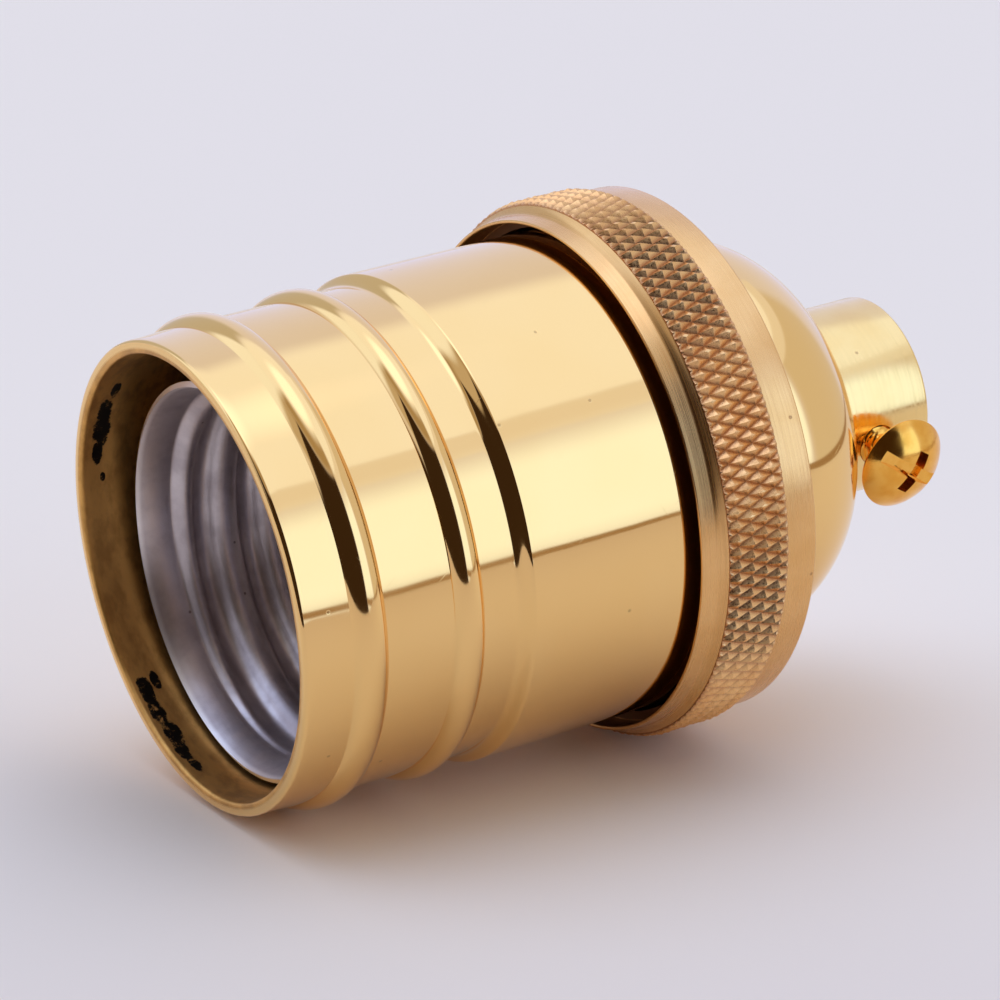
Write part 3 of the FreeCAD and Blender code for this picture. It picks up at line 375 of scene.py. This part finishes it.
def spun_aluminium(name):
    """Matte drawn aluminium with fine lines, soft blotches, small dark specks and a painted highlight along
    the lip's edge.
    """
    made, tree, surface, place = material(name)
    _, flat = polar_place(tree, place, 13 * MM)
    lines = noise(tree, scaled(tree, place, (90, 90, 3800)), 1.0, 3.0, 0.6)
    blotch = noise(tree, place, 330.0, 4.0, 0.6)
    grain = noise(tree, place, 9000.0, 2.0)
    specks = spots(tree, flat, 520, 0.07, 0.92)
    height_up = add(tree, "ShaderNodeSeparateXYZ", {0: place}).outputs[2]
    # Painted highlight: a bright glint along the shell's lip.
    painted_lip_glint = ramp(tree, height_up, (SHELL_LIP_Z + 0.42) * MM, (SHELL_LIP_Z + 0.08) * MM)
    height = calc(tree, "ADD", calc(tree, "MULTIPLY", lines, 0.6), calc(tree, "MULTIPLY", grain, 0.6))
    colour = mix(tree, ramp(tree, blotch, 0.35, 0.7), (0.67, 0.605, 0.60, 1), (0.52, 0.46, 0.465, 1))
    colour = mix(tree, calc(tree, "MULTIPLY", specks, 0.7), colour, (0.16, 0.13, 0.12, 1))
    colour = mix(tree, calc(tree, "MULTIPLY", painted_lip_glint, 0.8), colour, (0.97, 0.92, 0.90, 1))
    plug(tree, surface, Base_Color=colour, Metallic=1.0, Normal=bump(tree, height, 0.000012),
         Roughness=ramp(tree, blotch, 0.3, 0.7, 0.36, 0.46))
    return made


def plain_metal(name, colour, dark, rough, brush):
    """Small hardware: plated or stamped metal with fine brushing and dull blotches."""
    made, tree, surface, place = material(name)
    grain = noise(tree, scaled(tree, place, (brush, 500, 500)), 1.0, 3.0, 0.6)
    blotch = noise(tree, place, 700.0, 4.0, 0.6)
    plug(tree, surface, Base_Color=mix(tree, ramp(tree, blotch, 0.4, 0.75), colour, dark), Metallic=1.0,
         Roughness=ramp(tree, grain, 0.3, 0.7, rough, rough + 0.14), Normal=bump(tree, grain, 0.000006))
    return made


def glazed_ceramic(name):
    made, tree, surface, place = material(name)
    cloud = noise(tree, place, 240.0, 4.0, 0.6)
    wave = noise(tree, place, 900.0, 2.0)
    dots = noise(tree, place, 3600.0, 1.0)
    colour = mix(tree, ramp(tree, cloud, 0.35, 0.7), (0.90, 0.885, 0.845, 1), (0.83, 0.81, 0.76, 1))
    colour = mix(tree, ramp(tree, dots, 0.74, 0.78, 0.0, 0.6), colour, (0.35, 0.30, 0.24, 1))
    plug(tree, surface, Base_Color=colour, Roughness=ramp(tree, cloud, 0.3, 0.7, 0.16, 0.30),
         Normal=bump(tree, wave, 0.00002), Coat_Weight=0.5)
    return made


# --- Sleeve ---------------------------------------------------------------------------------
BORE_R = 15.8
MOUTH_R = 16.80
MOUTH_BAND = 0.9
LAND_R = 16.92
BEADS = ((3.60, 2.60), (11.35, 2.30))
BEAD_HEIGHT = 0.68
STEP_START = 16.10
STEP_END = 17.30
STEP_ROWS = 24
STEP_LATE = 1.4               # above 1, the step starts softly and ends sharply
STEP_GUARD = (0.03, 0.15)     # close rows beside the step, which keep its edges crisp
CORE_SEAT = 17.40
COUNTERBORE_WALL = 1.0
UNION_PITCH = 1.0
UNION_THREAD_START = 31.2


def bead_points(start, width):
    ball_r = ((width / 2) ** 2 + BEAD_HEIGHT ** 2) / (2 * BEAD_HEIGHT)
    half = math.degrees(math.asin(width / 2 / ball_r))
    centre = (LAND_R + BEAD_HEIGHT - ball_r, start + width / 2)
    return arc(centre, ball_r, -half, half, 22)


def make_sleeve():
    mouth = [(BORE_R, MOUTH_BAND), (BORE_R, 0), (MOUTH_R, 0), (MOUTH_R, MOUTH_BAND)]
    outside = rounded(mouth, 0.30, closed=False)
    for start, width in BEADS:
        outside += bead_points(start, width)
    outside.append((LAND_R, STEP_START - 1.2))
    outside += [(LAND_R, STEP_START - guard) for guard in reversed(STEP_GUARD)]
    for k in range(STEP_ROWS + 1):
        t = k / STEP_ROWS
        late = t ** STEP_LATE
        rise = late * late * (3 - 2 * late)
        outside.append((LAND_R + (BODY_R - LAND_R) * rise, STEP_START + (STEP_END - STEP_START) * t))
    outside += [(BODY_R, STEP_END + guard) for guard in STEP_GUARD]
    outside += line((BODY_R, STEP_END + 1.3), (BODY_R, UNION_THREAD_START), 6)
    outside += line((BODY_R, UNION_THREAD_START), (BODY_R, SLEEVE_END - 0.3), 44)
    inner = BODY_R - COUNTERBORE_WALL
    outside += [(BODY_R - 0.3, SLEEVE_END), (inner, SLEEVE_END), (inner, CORE_SEAT), (BORE_R, CORE_SEAT)]
    thread = vee_thread(UNION_PITCH, 0.5, UNION_THREAD_START, SLEEVE_END - 0.3, False, BODY_R)
    made = spun("sleeve_turned", outside, 320, thread)
    made.data.materials.append(polished_brass("brass_polished", BODY_R, BORE_R))
    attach(made, "holder")
    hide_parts("sleeve")


# --- Screw shell ----------------------------------------------------------------------------
E27_PITCH = 25.4 / 7
SHELL_MAJOR = 13.30
SHELL_MINOR = 12.25
SHELL_SHEET = 0.40
SHELL_FLARE = 2.40
SHELL_FLARE_ROWS = 12
SHELL_FOOT = 2.40
SHELL_FADE = 1.20
SHELL_CORNER = 1.00
SHELL_HOLE_R = 7.40
SHELL_PHASE_DEG = 260.0
SHELL_SAG = (0.25, 1.15)      # the loose shell hangs down by this much at its foot and at its lip


def rolled_wave(turns):
    """Height of the rolled thread, from -1 at a root to +1 at a crest, made of equal arcs."""
    depth = SHELL_MAJOR - SHELL_MINOR
    quarter = E27_PITCH / 4
    round_r = (quarter ** 2 + (depth / 2) ** 2) / depth
    offset = (turns - np.floor(turns)) * E27_PITCH
    crest = (offset < quarter) | (offset > 3 * quarter)
    run = np.where(crest, np.minimum(offset, E27_PITCH - offset), np.abs(offset - 2 * quarter))
    height = 1 - 2 * (round_r - np.sqrt(round_r ** 2 - run ** 2)) / depth
    return np.where(crest, height, -height)


def make_shell():
    depth = SHELL_MAJOR - SHELL_MINOR
    plain = SHELL_MAJOR + SHELL_SHEET / 2
    low = SHELL_LIP_Z + SHELL_FLARE
    high = SHELL_BASE_Z - SHELL_SHEET / 2
    section = []
    for k in range(SHELL_FLARE_ROWS):
        share = k / SHELL_FLARE_ROWS
        section.append((plain + (SHELL_LIP_R - SHELL_SHEET / 2 - plain) * (1 - share) ** 2,
                        SHELL_LIP_Z + 0.05 + (SHELL_FLARE - 0.05) * share))
    section += line((plain, low), (plain, high - SHELL_CORNER), 116)
    section += arc((plain - SHELL_CORNER, high - SHELL_CORNER), SHELL_CORNER, 0, 90, 6)
    section += line((plain - SHELL_CORNER, high), (SHELL_HOLE_R, high), 4)[1:] + [(SHELL_HOLE_R, high)]
    rows = len(section)

    def shape(r, z, angle):
        top = SHELL_BASE_Z - SHELL_FOOT
        reach = np.clip(np.minimum(z - low, top - z) / SHELL_FADE, 0, 1)
        strength = reach * reach * (3 - 2 * reach)
        turns = z / E27_PITCH - angle / TURN - SHELL_PHASE_DEG / 360
        r = r + strength * (rolled_wave(turns) - 1) * depth / 2
        run_r = np.gradient(r[:, :rows], axis=1)
        run_z = np.gradient(z[:, :rows], axis=1)
        length = np.hypot(run_r, run_z)
        side_r = run_z / length * SHELL_SHEET / 2
        side_z = -run_r / length * SHELL_SHEET / 2
        half_r = r[:, :rows]
        half_z = z[:, :rows]
        new_r = np.concatenate([half_r + side_r, (half_r - side_r)[:, ::-1]], 1)
        new_z = np.concatenate([half_z + side_z, (half_z - side_z)[:, ::-1]], 1)
        return new_r, new_z

    both = section + section[::-1]
    made = spun("shell_rolled", both, 240, shape, sharp_deg=50)
    down = -Vector((FLOOR_UP.x, FLOOR_UP.y, 0)).normalized()
    for point in made.data.vertices:
        share = (SHELL_BASE_Z - point.co.z / MM) / (SHELL_BASE_Z - SHELL_LIP_Z)
        point.co += down * (SHELL_SAG[0] + (SHELL_SAG[1] - SHELL_SAG[0]) * share) * MM
    made.data.materials.append(spun_aluminium("aluminium_matte"))
    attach(made, "holder")
    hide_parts("screw_shell")


# --- Union ring -----------------------------------------------------------------------------
RING_THREAD_R = 17.90
RING_MOUTH_R = 18.58
RING_THREAD_Z = 31.90
RING_LIP_Z = 37.55
RING_LIP_R = 15.25
RIM_R = 18.80
RIM_LENGTH = 1.1
RIM_TAPER = 0.14
HOLLOW_POWER = 1.5
FRONT_LAND_R = 19.50
REAR_LAND_R = 19.42
KNURL_LOW = 31.65
KNURL_HIGH = 36.51
KNURL_DEPTH = 0.42
KNURL_SEAT = 0.12             # the turned ring under the knurl lies this far below its grooves
KNURL_SINK = 0.30             # and the knurl's inner wall this far
KNURL_COUNT = 126
KNURL_ROW = 1.11
KNURL_SPLIT = 4


def make_ring():
    seat = KNURL_R - KNURL_DEPTH - KNURL_SEAT
    rim_end = (RIM_R + RIM_TAPER, RING_FRONT + RIM_LENGTH)
    corners = [(RING_MOUTH_R, RING_FRONT), (RIM_R, RING_FRONT), rim_end]
    for k in range(1, 8):
        t = k / 7
        corners.append((rim_end[0] + (FRONT_LAND_R - rim_end[0]) * t ** HOLLOW_POWER,
                        rim_end[1] + (KNURL_LOW - rim_end[1]) * t))
    corners += [(seat, KNURL_LOW), (seat, KNURL_HIGH), (REAR_LAND_R, KNURL_HIGH), (REAR_LAND_R, RING_REAR),
                (RING_LIP_R, RING_REAR), (RING_LIP_R, RING_LIP_Z)]
    section = rounded(corners, 0.16)
    section += line((RING_THREAD_R, RING_LIP_Z), (RING_THREAD_R, RING_THREAD_Z), 60)
    section += [(RING_THREAD_R, RING_THREAD_Z), (RING_MOUTH_R, RING_THREAD_Z)]
    thread = vee_thread(UNION_PITCH, 0.5, RING_THREAD_Z, RING_LIP_Z, True, RING_THREAD_R)
    made = spun("ring_turned", section, 300, thread)
    made.data.materials.append(turned_brass(
        "brass_turned", (0.86, 0.51, 0.20, 1), (0.80, 0.45, 0.16, 1), 0.20, 0.34, 7000, 0.0000035,
        KNURL_R, RING_MOUTH_R))
    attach(made, "ring")
    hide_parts("knurled_ring")
    knurl = make_knurl()
    knurl.data.materials.append(knurl_brass())
    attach(knurl, "ring")


def make_knurl():
    """Diamond knurl: two families of slanting grooves leave pyramids, worn at their points and
    cut a little unevenly."""
    columns = KNURL_COUNT * 2 * KNURL_SPLIT
    middle = (KNURL_LOW + KNURL_HIGH) / 2
    half_rows = int(math.ceil((KNURL_HIGH - middle) / KNURL_ROW * KNURL_SPLIT))
    t = (np.arange(-half_rows, half_rows + 1)) / KNURL_SPLIT + 0.5
    z = np.clip(middle + (t - 0.5) * KNURL_ROW, KNURL_LOW, KNURL_HIGH)
    t = (z - middle) / KNURL_ROW + 0.5
    s = np.arange(columns) / KNURL_SPLIT
    u = (s[:, None] + t[None, :]) / 2
    v = (s[:, None] - t[None, :]) / 2
    du = np.abs(u - np.round(u))
    dv = np.abs(v - np.round(v))
    height = 1 - 2 * np.maximum(du, dv)
    cell = np.sin(np.round(u) * 12.9898 + np.round(v) * 78.233) * 43758.5453
    uneven = cell - np.floor(cell)
    top = 0.80 + 0.14 * uneven
    height = np.where(height > top, top + (height - top) * 0.25, height)
    height = height * (0.94 + 0.06 * uneven)
    lift = np.minimum(np.minimum(z - KNURL_LOW, KNURL_HIGH - z) / 0.18, 1)[None, :]
    height = height * (0.45 + 0.55 * lift)
    r = KNURL_R - KNURL_DEPTH * (1 - height)
    angle = (s * TURN / (2 * KNURL_COUNT))[:, None]
    outer = np.stack([r * np.cos(angle), r * np.sin(angle), np.repeat(z[None, :], columns, 0)], 2)
    rows = len(z)
    seat = KNURL_R - KNURL_DEPTH - KNURL_SINK
    flat = np.stack([seat * np.cos(angle[:, 0]), seat * np.sin(angle[:, 0])], 1)
    inner = [np.column_stack([flat, np.full(columns, level)]) for level in (KNURL_LOW, KNURL_HIGH)]
    verts = np.concatenate([outer.reshape(-1, 3)] + inner)
    faces = []
    base = columns * rows
    for c in range(columns):
        d = (c + 1) % columns
        for k in range(rows - 1):
            a, b, e, f = c * rows + k, d * rows + k, d * rows + k + 1, c * rows + k + 1
            if (math.floor(s[c] + 1e-6) + math.floor((t[k] + t[k + 1]) / 2)) % 2:
                faces += [(a, b, e), (a, e, f)]
            else:
                faces += [(a, b, f), (b, e, f)]
        low_c, low_d = base + c, base + d
        high_c, high_d = base + columns + c, base + columns + d
        faces += [(c * rows, low_c, low_d, d * rows),
                  (c * rows + rows - 1, d * rows + rows - 1, high_d, high_c),
                  (low_c, high_c, high_d, low_d)]
    return finish_mesh("ring_knurl", verts, faces, 18)


def knurl_brass():
    """Raw cut brass: bright on the points, with painted shade making it browner down in the grooves."""
    made, tree, surface, place = material("brass_knurled")
    r, _ = polar_place(tree, place, KNURL_R * MM)
    grain = noise(tree, place, 5200.0, 4.0, 0.65)
    drift = noise(tree, place, 420.0, 3.0)
    # Painted shade: darker brown down in the knurl's grooves.
    groove_shade = ramp(tree, r, (KNURL_R - KNURL_DEPTH * 0.45) * MM, (KNURL_R - KNURL_DEPTH) * MM)
    colour = mix(tree, ramp(tree, drift, 0.3, 0.7), (0.88, 0.53, 0.22, 1), (0.80, 0.44, 0.17, 1))
    colour = mix(tree, calc(tree, "MULTIPLY", groove_shade, 0.65), colour, (0.42, 0.19, 0.09, 1))
    plug(tree, surface, Base_Color=colour, Metallic=1.0, Normal=bump(tree, grain, 0.000012),
         Roughness=ramp(tree, grain, 0.3, 0.7, 0.22, 0.40))
    return made


# --- Cap ------------------------------------------------------------------------------------
CAP_R = 15.0
FLANGE_TOP = 37.4
DOME_START = 41.2
DOME_ROUND = 9.1
CAP_CROWN = 1.4
CAP_WALL = 1.0
DOME_HOLE_R = 6.05
NECK_SEAT_R = 7.3


def make_dome():
    centre = (CAP_R - DOME_ROUND, DOME_START)
    outer_end = math.degrees(math.acos((NECK_SEAT_R - centre[0]) / DOME_ROUND))
    inner_round = DOME_ROUND - CAP_WALL
    inner_end = math.degrees(math.asin((DOME_TOP - CAP_CROWN - DOME_START) / inner_round))
    section = rounded([(CAP_R - CAP_WALL, CAP_FRONT), (FLANGE_R, CAP_FRONT), (FLANGE_R, FLANGE_TOP),
                       (CAP_R, FLANGE_TOP), (CAP_R, DOME_START - 0.5)], 0.15, closed=False)
    section += arc(centre, DOME_ROUND, 0, outer_end, 40)
    section += [(DOME_HOLE_R, DOME_TOP), (DOME_HOLE_R, DOME_TOP - CAP_CROWN)]
    section += arc(centre, inner_round, inner_end, 0, 16)
    made = spun("dome_turned", section, 256)
    made.data.materials.append(polished_brass("brass_dome", CAP_R))
    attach(made, "cap")
    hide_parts("dome_cap")


NECK_BORE_R = 4.5
NECK_TAIL_R = 6.0
NECK_PITCH = 1.0
NECK_CHAMFER = 0.6
NECK_GROOVE = 0.12            # the small groove where the neck meets the dome
LOCK_Z = 53.5
LOCK_R = 1.5
LOCK_GAP = 2.8
LOCK_HEAD = 1.85
LOCK_SIDE = 0.15
LOCK_DRIVE_DEG = -34
LOCK_HOLE_R = LOCK_R + 0.06
# The drive's cuts: angle, length and width, depth, and the floor's share of length and width.
LOCK_CUTS = ((0, (9.0, 0.95), 1.0, 1.0), (0, (4.1, 1.2), 1.35, 0.62), (90, (4.1, 1.2), 1.35, 0.62))


def make_neck():
    groove_r = NECK_R - NECK_GROOVE
    section = rounded([(NECK_TAIL_R, NECK_LOW), (NECK_TAIL_R, DOME_TOP), (groove_r, DOME_TOP),
                       (groove_r, DOME_TOP + NECK_GROOVE), (NECK_R, DOME_TOP + 0.3), (NECK_R, NECK_END),
                       (NECK_BORE_R + NECK_CHAMFER, NECK_END), (NECK_BORE_R, NECK_END - NECK_CHAMFER)],
                      0.22, closed=False)
    section += line((NECK_BORE_R, NECK_END - 0.7), (NECK_BORE_R, NECK_LOW), 110)[1:]
    section += [(NECK_BORE_R, NECK_LOW)]
    thread = vee_thread(NECK_PITCH, 0.5, NECK_LOW, NECK_END - 0.5, True, NECK_BORE_R)
    made = spun("neck_turned", section, 160, thread)
    drill = spun("drill", [(0.0, 3.0), (LOCK_HOLE_R, 3.0), (LOCK_HOLE_R, 9.0), (0.0, 9.0)], 48)
    drill.data.transform(Matrix.Rotation(math.pi / 2, 4, "Y"))
    drill.data.transform(Matrix.Translation((0, 0, LOCK_Z * MM)))
    cut_away(made, drill)
    made.data.materials.append(turned_brass(
        "brass_satin", (0.95, 0.67, 0.27, 1), (0.92, 0.62, 0.23, 1), 0.12, 0.24, 5200, 0.0000022, NECK_R))
    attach(made, "cap")
    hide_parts("neck_bush")


# --- Lock screw -----------------------------------------------------------------------------
def make_lock_screw():
    low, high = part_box("lock_screw")
    tip = low.x / MM
    head_r = (high.y - low.y) / 2 / MM
    seat = NECK_R + LOCK_GAP
    face = seat + LOCK_HEAD
    ball_r = (head_r ** 2 + (LOCK_HEAD - LOCK_SIDE) ** 2) / (2 * (LOCK_HEAD - LOCK_SIDE))
    edge = math.degrees(math.acos(head_r / ball_r))
    section = [(0.0, tip)]
    section += [(LOCK_R - 0.5, tip), (LOCK_R, tip + 0.45)]
    section += line((LOCK_R, tip + 0.5), (LOCK_R, seat - 0.15), 40)
    section += rounded([(LOCK_R, seat), (head_r - 0.03, seat), (head_r, seat + LOCK_SIDE)], 0.06,
                       closed=False)
    section += arc((0, face - ball_r), ball_r, edge, 90, 20)[1:-1] + [(0.0, face)]
    thread = vee_thread(0.5, 0.26, tip + 0.3, seat, False, LOCK_R)
    made = spun("lock_screw_turned", section, 96, thread, closed=False)
    for turn, size, depth, taper in LOCK_CUTS:
        spin = Matrix.Rotation(math.radians(turn + LOCK_DRIVE_DEG), 3, "Z")
        cut_away(made, wedge_block((*size, depth + 1), taper, (0, 0, face - depth / 2 + 0.5), spin))
    made.data.transform(Matrix.Rotation(math.pi / 2, 4, "Y"))
    made.data.transform(Matrix.Translation((0, 0, LOCK_Z * MM)))
    made.data.materials.append(screw_brass())
    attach(made, "lock")
    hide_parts("lock_screw")


def screw_brass():
    """Bright orange-gold plating with soft blotches."""
    made, tree, surface, place = material("brass_bright")
    drift = noise(tree, place, 900.0, 3.0)
    grain = noise(tree, place, 9000.0, 3.0, 0.6)
    colour = mix(tree, ramp(tree, drift, 0.3, 0.7), (0.97, 0.52, 0.10, 1), (0.90, 0.42, 0.06, 1))
    plug(tree, surface, Base_Color=colour, Metallic=1.0, Normal=bump(tree, grain, 0.000003),
         Roughness=ramp(tree, drift, 0.3, 0.7, 0.10, 0.22))
    return made


# --- Inner pieces keep their CAD shape ------------------------------------------------------
def dress_inner_pieces():
    steel = plain_metal("steel_plated", (0.70, 0.70, 0.68, 1), (0.55, 0.54, 0.50, 1), 0.24, 3000)
    stamped = plain_metal("brass_stamped", (0.86, 0.66, 0.36, 1), (0.72, 0.50, 0.25, 1), 0.22, 2400)
    dull = plain_metal("brass_dull", (0.76, 0.57, 0.32, 1), (0.50, 0.34, 0.17, 1), 0.32, 1200)
    bronze = plain_metal("bronze_strip", (0.80, 0.52, 0.32, 1), (0.60, 0.36, 0.20, 1), 0.26, 3600)
    dress = {
        steel: ("live_terminal_screw", "neutral_terminal_screw", "live_clamp_washer",
                "neutral_clamp_washer", "neck_nut", "earth_bracket", "earth_screw", "earth_washer"),
        stamped: ("live_terminal", "neutral_terminal"),
        dull: ("live_rivet", "neutral_rivet", "shell_rivets", "contact_button"),
        bronze: ("centre_contact",),
        glazed_ceramic("ceramic_glazed"): ("ceramic_core",),
    }
    for look, names in dress.items():
        for name in names:
            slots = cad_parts[name].data.materials
            slots.clear()
            slots.append(look)


# --- Stage ----------------------------------------------------------------------------------
CAMERA_PLACE = Vector((206.92, -147.02, -110.32)) * MM
LOOK_RIGHT = Vector((0.525722, -0.043851, 0.849525))
LOOK_DOWN = Vector((0.455991, 0.857594, -0.237919))
LOOK_AHEAD = Vector((-0.718115, 0.512455, 0.470852))
LENS = 145.52

FLOOR_SIDE = Vector((LOOK_RIGHT - LOOK_RIGHT.dot(FLOOR_UP) * FLOOR_UP)).normalized()
FLOOR_TOWARD = FLOOR_SIDE.cross(FLOOR_UP).normalized()
if FLOOR_TOWARD.dot(LOOK_AHEAD) > 0:
    FLOOR_TOWARD = -FLOOR_TOWARD

PALE = (0.975, 0.86, 0.70, 1)
# Floor colour at the table's front edge: painted shade, darker and warmer than PALE.
PALE_PAINTED_SHADE = (0.82, 0.69, 0.575, 1)
FLOOR_EDGE = 104              # the table ends this far in front of the holder's middle
FLOOR_LEFT = -420
FLOOR_RIGHT = 190
FLOOR_BACK = -1400
FLOOR_CLEAR = 0.05
BACKGROUND = (0.745, 0.723, 0.807, 1)


def make_camera():
    eye = bpy.data.cameras.new("eye")
    eye.lens = LENS
    eye.sensor_width = 36
    eye.clip_start = 0.005
    made = bpy.data.objects.new("eye", eye)
    made.matrix_world = Matrix((
        (LOOK_RIGHT.x, -LOOK_DOWN.x, -LOOK_AHEAD.x, CAMERA_PLACE.x),
        (LOOK_RIGHT.y, -LOOK_DOWN.y, -LOOK_AHEAD.y, CAMERA_PLACE.y),
        (LOOK_RIGHT.z, -LOOK_DOWN.z, -LOOK_AHEAD.z, CAMERA_PLACE.z),
        (0, 0, 0, 1)))
    bpy.context.scene.collection.objects.link(made)
    bpy.context.scene.camera = made


def make_floor():
    """The holder lies on its side: the floor touches the knurled ring and the first bead. Seen
    from behind, it lets the view through."""
    bead_z = BEADS[0][0] + BEADS[0][1] / 2
    tilt = math.hypot(FLOOR_UP.x, FLOOR_UP.y)
    ring_touch = -KNURL_R * tilt + KNURL_LOW * FLOOR_UP.z
    bead_touch = -(LAND_R + BEAD_HEIGHT) * tilt + bead_z * FLOOR_UP.z
    height = (min(ring_touch, bead_touch) - FLOOR_CLEAR) * MM
    middle = Vector((0, 0, 0.025))
    foot = middle + FLOOR_UP * (height - middle.dot(FLOOR_UP))
    corners = [foot + FLOOR_SIDE * a * MM + FLOOR_TOWARD * b * MM
               for a, b in ((FLOOR_LEFT, FLOOR_EDGE), (FLOOR_RIGHT, FLOOR_EDGE),
                            (FLOOR_RIGHT, FLOOR_BACK), (FLOOR_LEFT, FLOOR_BACK))]
    mesh = bpy.data.meshes.new("floor")
    mesh.from_pydata([tuple(c) for c in corners], [], [(0, 1, 2, 3)])
    made = bpy.data.objects.new("floor", mesh)
    bpy.context.scene.collection.objects.link(made)
    if mesh.polygons[0].normal.dot(FLOOR_UP) < 0:
        mesh.flip_normals()
    look = bpy.data.materials.new("floor_paper")
    look.use_nodes = True
    tree = look.node_tree
    tree.nodes.clear()
    place = add(tree, "ShaderNodeTexCoord").outputs["Object"]
    # Painted shade: the paper darkens and warms toward the camera, out to the table's front edge.
    nearness = add(tree, "ShaderNodeVectorMath", {0: place, 1: tuple(FLOOR_TOWARD)}, operation="DOT_PRODUCT")
    paper = mix(tree, ramp(tree, nearness.outputs["Value"], -0.03, FLOOR_EDGE * MM), PALE, PALE_PAINTED_SHADE)
    matte = add(tree, "ShaderNodeBsdfDiffuse", {"Color": paper})
    clear = add(tree, "ShaderNodeBsdfTransparent")
    behind = add(tree, "ShaderNodeNewGeometry").outputs["Backfacing"]
    both = add(tree, "ShaderNodeMixShader", {0: behind, 1: matte.outputs[0], 2: clear.outputs[0]})
    out = add(tree, "ShaderNodeOutputMaterial")
    tree.links.new(both.outputs[0], out.inputs["Surface"])
    mesh.materials.append(look)


def inside_band(tree, value, low, high, soft):
    rise = ramp(tree, value, low - soft, low + soft)
    fall = ramp(tree, value, high - soft, high + soft, 1.0, 0.0)
    return calc(tree, "MULTIPLY", rise, fall)


def make_studio():
    """Pale tent round the table: a bright ceiling, a bright panel on either side of the dark
    opening that the view comes through, duller walls beyond them, and a thin gap at the table."""
    world = bpy.data.worlds.new("tent")
    bpy.context.scene.world = world
    world.use_nodes = True
    tree = world.node_tree
    tree.nodes.clear()
    way = add(tree, "ShaderNodeTexCoord").outputs["Generated"]

    def along(axis):
        made = add(tree, "ShaderNodeVectorMath", {0: way, 1: tuple(axis)}, operation="DOT_PRODUCT")
        return made.outputs["Value"]

    degrees = 180 / math.pi
    lift = calc(tree, "MULTIPLY", calc(tree, "ARCSINE", along(FLOOR_UP)), degrees)
    turn = calc(tree, "MULTIPLY", calc(tree, "ARCTAN2", along(FLOOR_SIDE), along(FLOOR_TOWARD)), degrees)

    def zone(colour, turns, turn_soft, lifts, lift_soft, light):
        """The colour with one patch of light laid over it. Turns are degrees round the table, 0
        toward the camera and rising to its right, and lifts are degrees above the floor."""
        patch = calc(tree, "MULTIPLY", inside_band(tree, turn, *turns, turn_soft),
                     inside_band(tree, lift, *lifts, lift_soft))
        return mix(tree, patch, colour, light)

    ceiling = (1.02, 1.19, 1.68, 1)
    dark = (0.040, 0.024, 0.014, 1)
    colour = mix(tree, ramp(tree, lift, 46, 56), (0.78, 0.85, 1.25, 1), ceiling)
    colour = mix(tree, ramp(tree, lift, 66, 78), colour, (1.45, 1.62, 2.30, 1))
    colour = zone(colour, (80, 142), 5, (-20, 47), 4, (0.70, 0.70, 0.76, 1))
    colour = zone(colour, (-160, -120), 7, (-20, 48), 4, (0.56, 0.59, 0.68, 1))
    colour = zone(colour, (-122, -40), 4, (-20, 20), 4, (0.74, 0.76, 0.95, 1))
    colour = zone(colour, (-122, -56), 4, (20, 53), 5, (1.02, 1.22, 1.74, 1))
    colour = zone(colour, (-72, -40), 6, (20, 50), 4, (0.56, 0.52, 0.50, 1))
    colour = zone(colour, (41, 150), 2, (40, 48.5), 0.8, (0.86, 0.93, 1.20, 1))
    colour = zone(colour, (41, 150), 2, (48.5, 58), 0.8, ceiling)
    colour = zone(colour, (41, 77), 3, (-6, 36), 8, (1.12, 1.44, 2.12, 1))
    colour = zone(colour, (-70, 46), 9, (47, 66), 7, (0.42, 0.35, 0.26, 1))
    colour = zone(colour, (-51, 41), 2, (-16, 48), 2, dark)
    colour = zone(colour, (-78, -40), 4, (-16, 11), 4, dark)
    colour = zone(colour, (41, 180), 1, (-7.4, -4.5), 0.4, (0.36, 0.26, 0.18, 1))
    colour = mix(tree, ramp(tree, lift, -17, -15, 1.0, 0.0), colour, (0.87, 0.83, 0.88, 1))
    seen = add(tree, "ShaderNodeLightPath").outputs["Is Camera Ray"]
    lamp = add(tree, "ShaderNodeBackground", {"Color": colour, "Strength": 1.0})
    view = add(tree, "ShaderNodeBackground", {"Color": BACKGROUND, "Strength": 1.0})
    both = add(tree, "ShaderNodeMixShader", {0: seen, 1: lamp.outputs[0], 2: view.outputs[0]})
    out = add(tree, "ShaderNodeOutputWorld")
    tree.links.new(both.outputs[0], out.inputs["Surface"])


make_sleeve()
make_shell()
make_ring()
make_dome()
make_neck()
make_lock_screw()
dress_inner_pieces()
make_camera()
make_floor()
make_studio()
bpy.context.scene.view_settings.view_transform = "Standard"
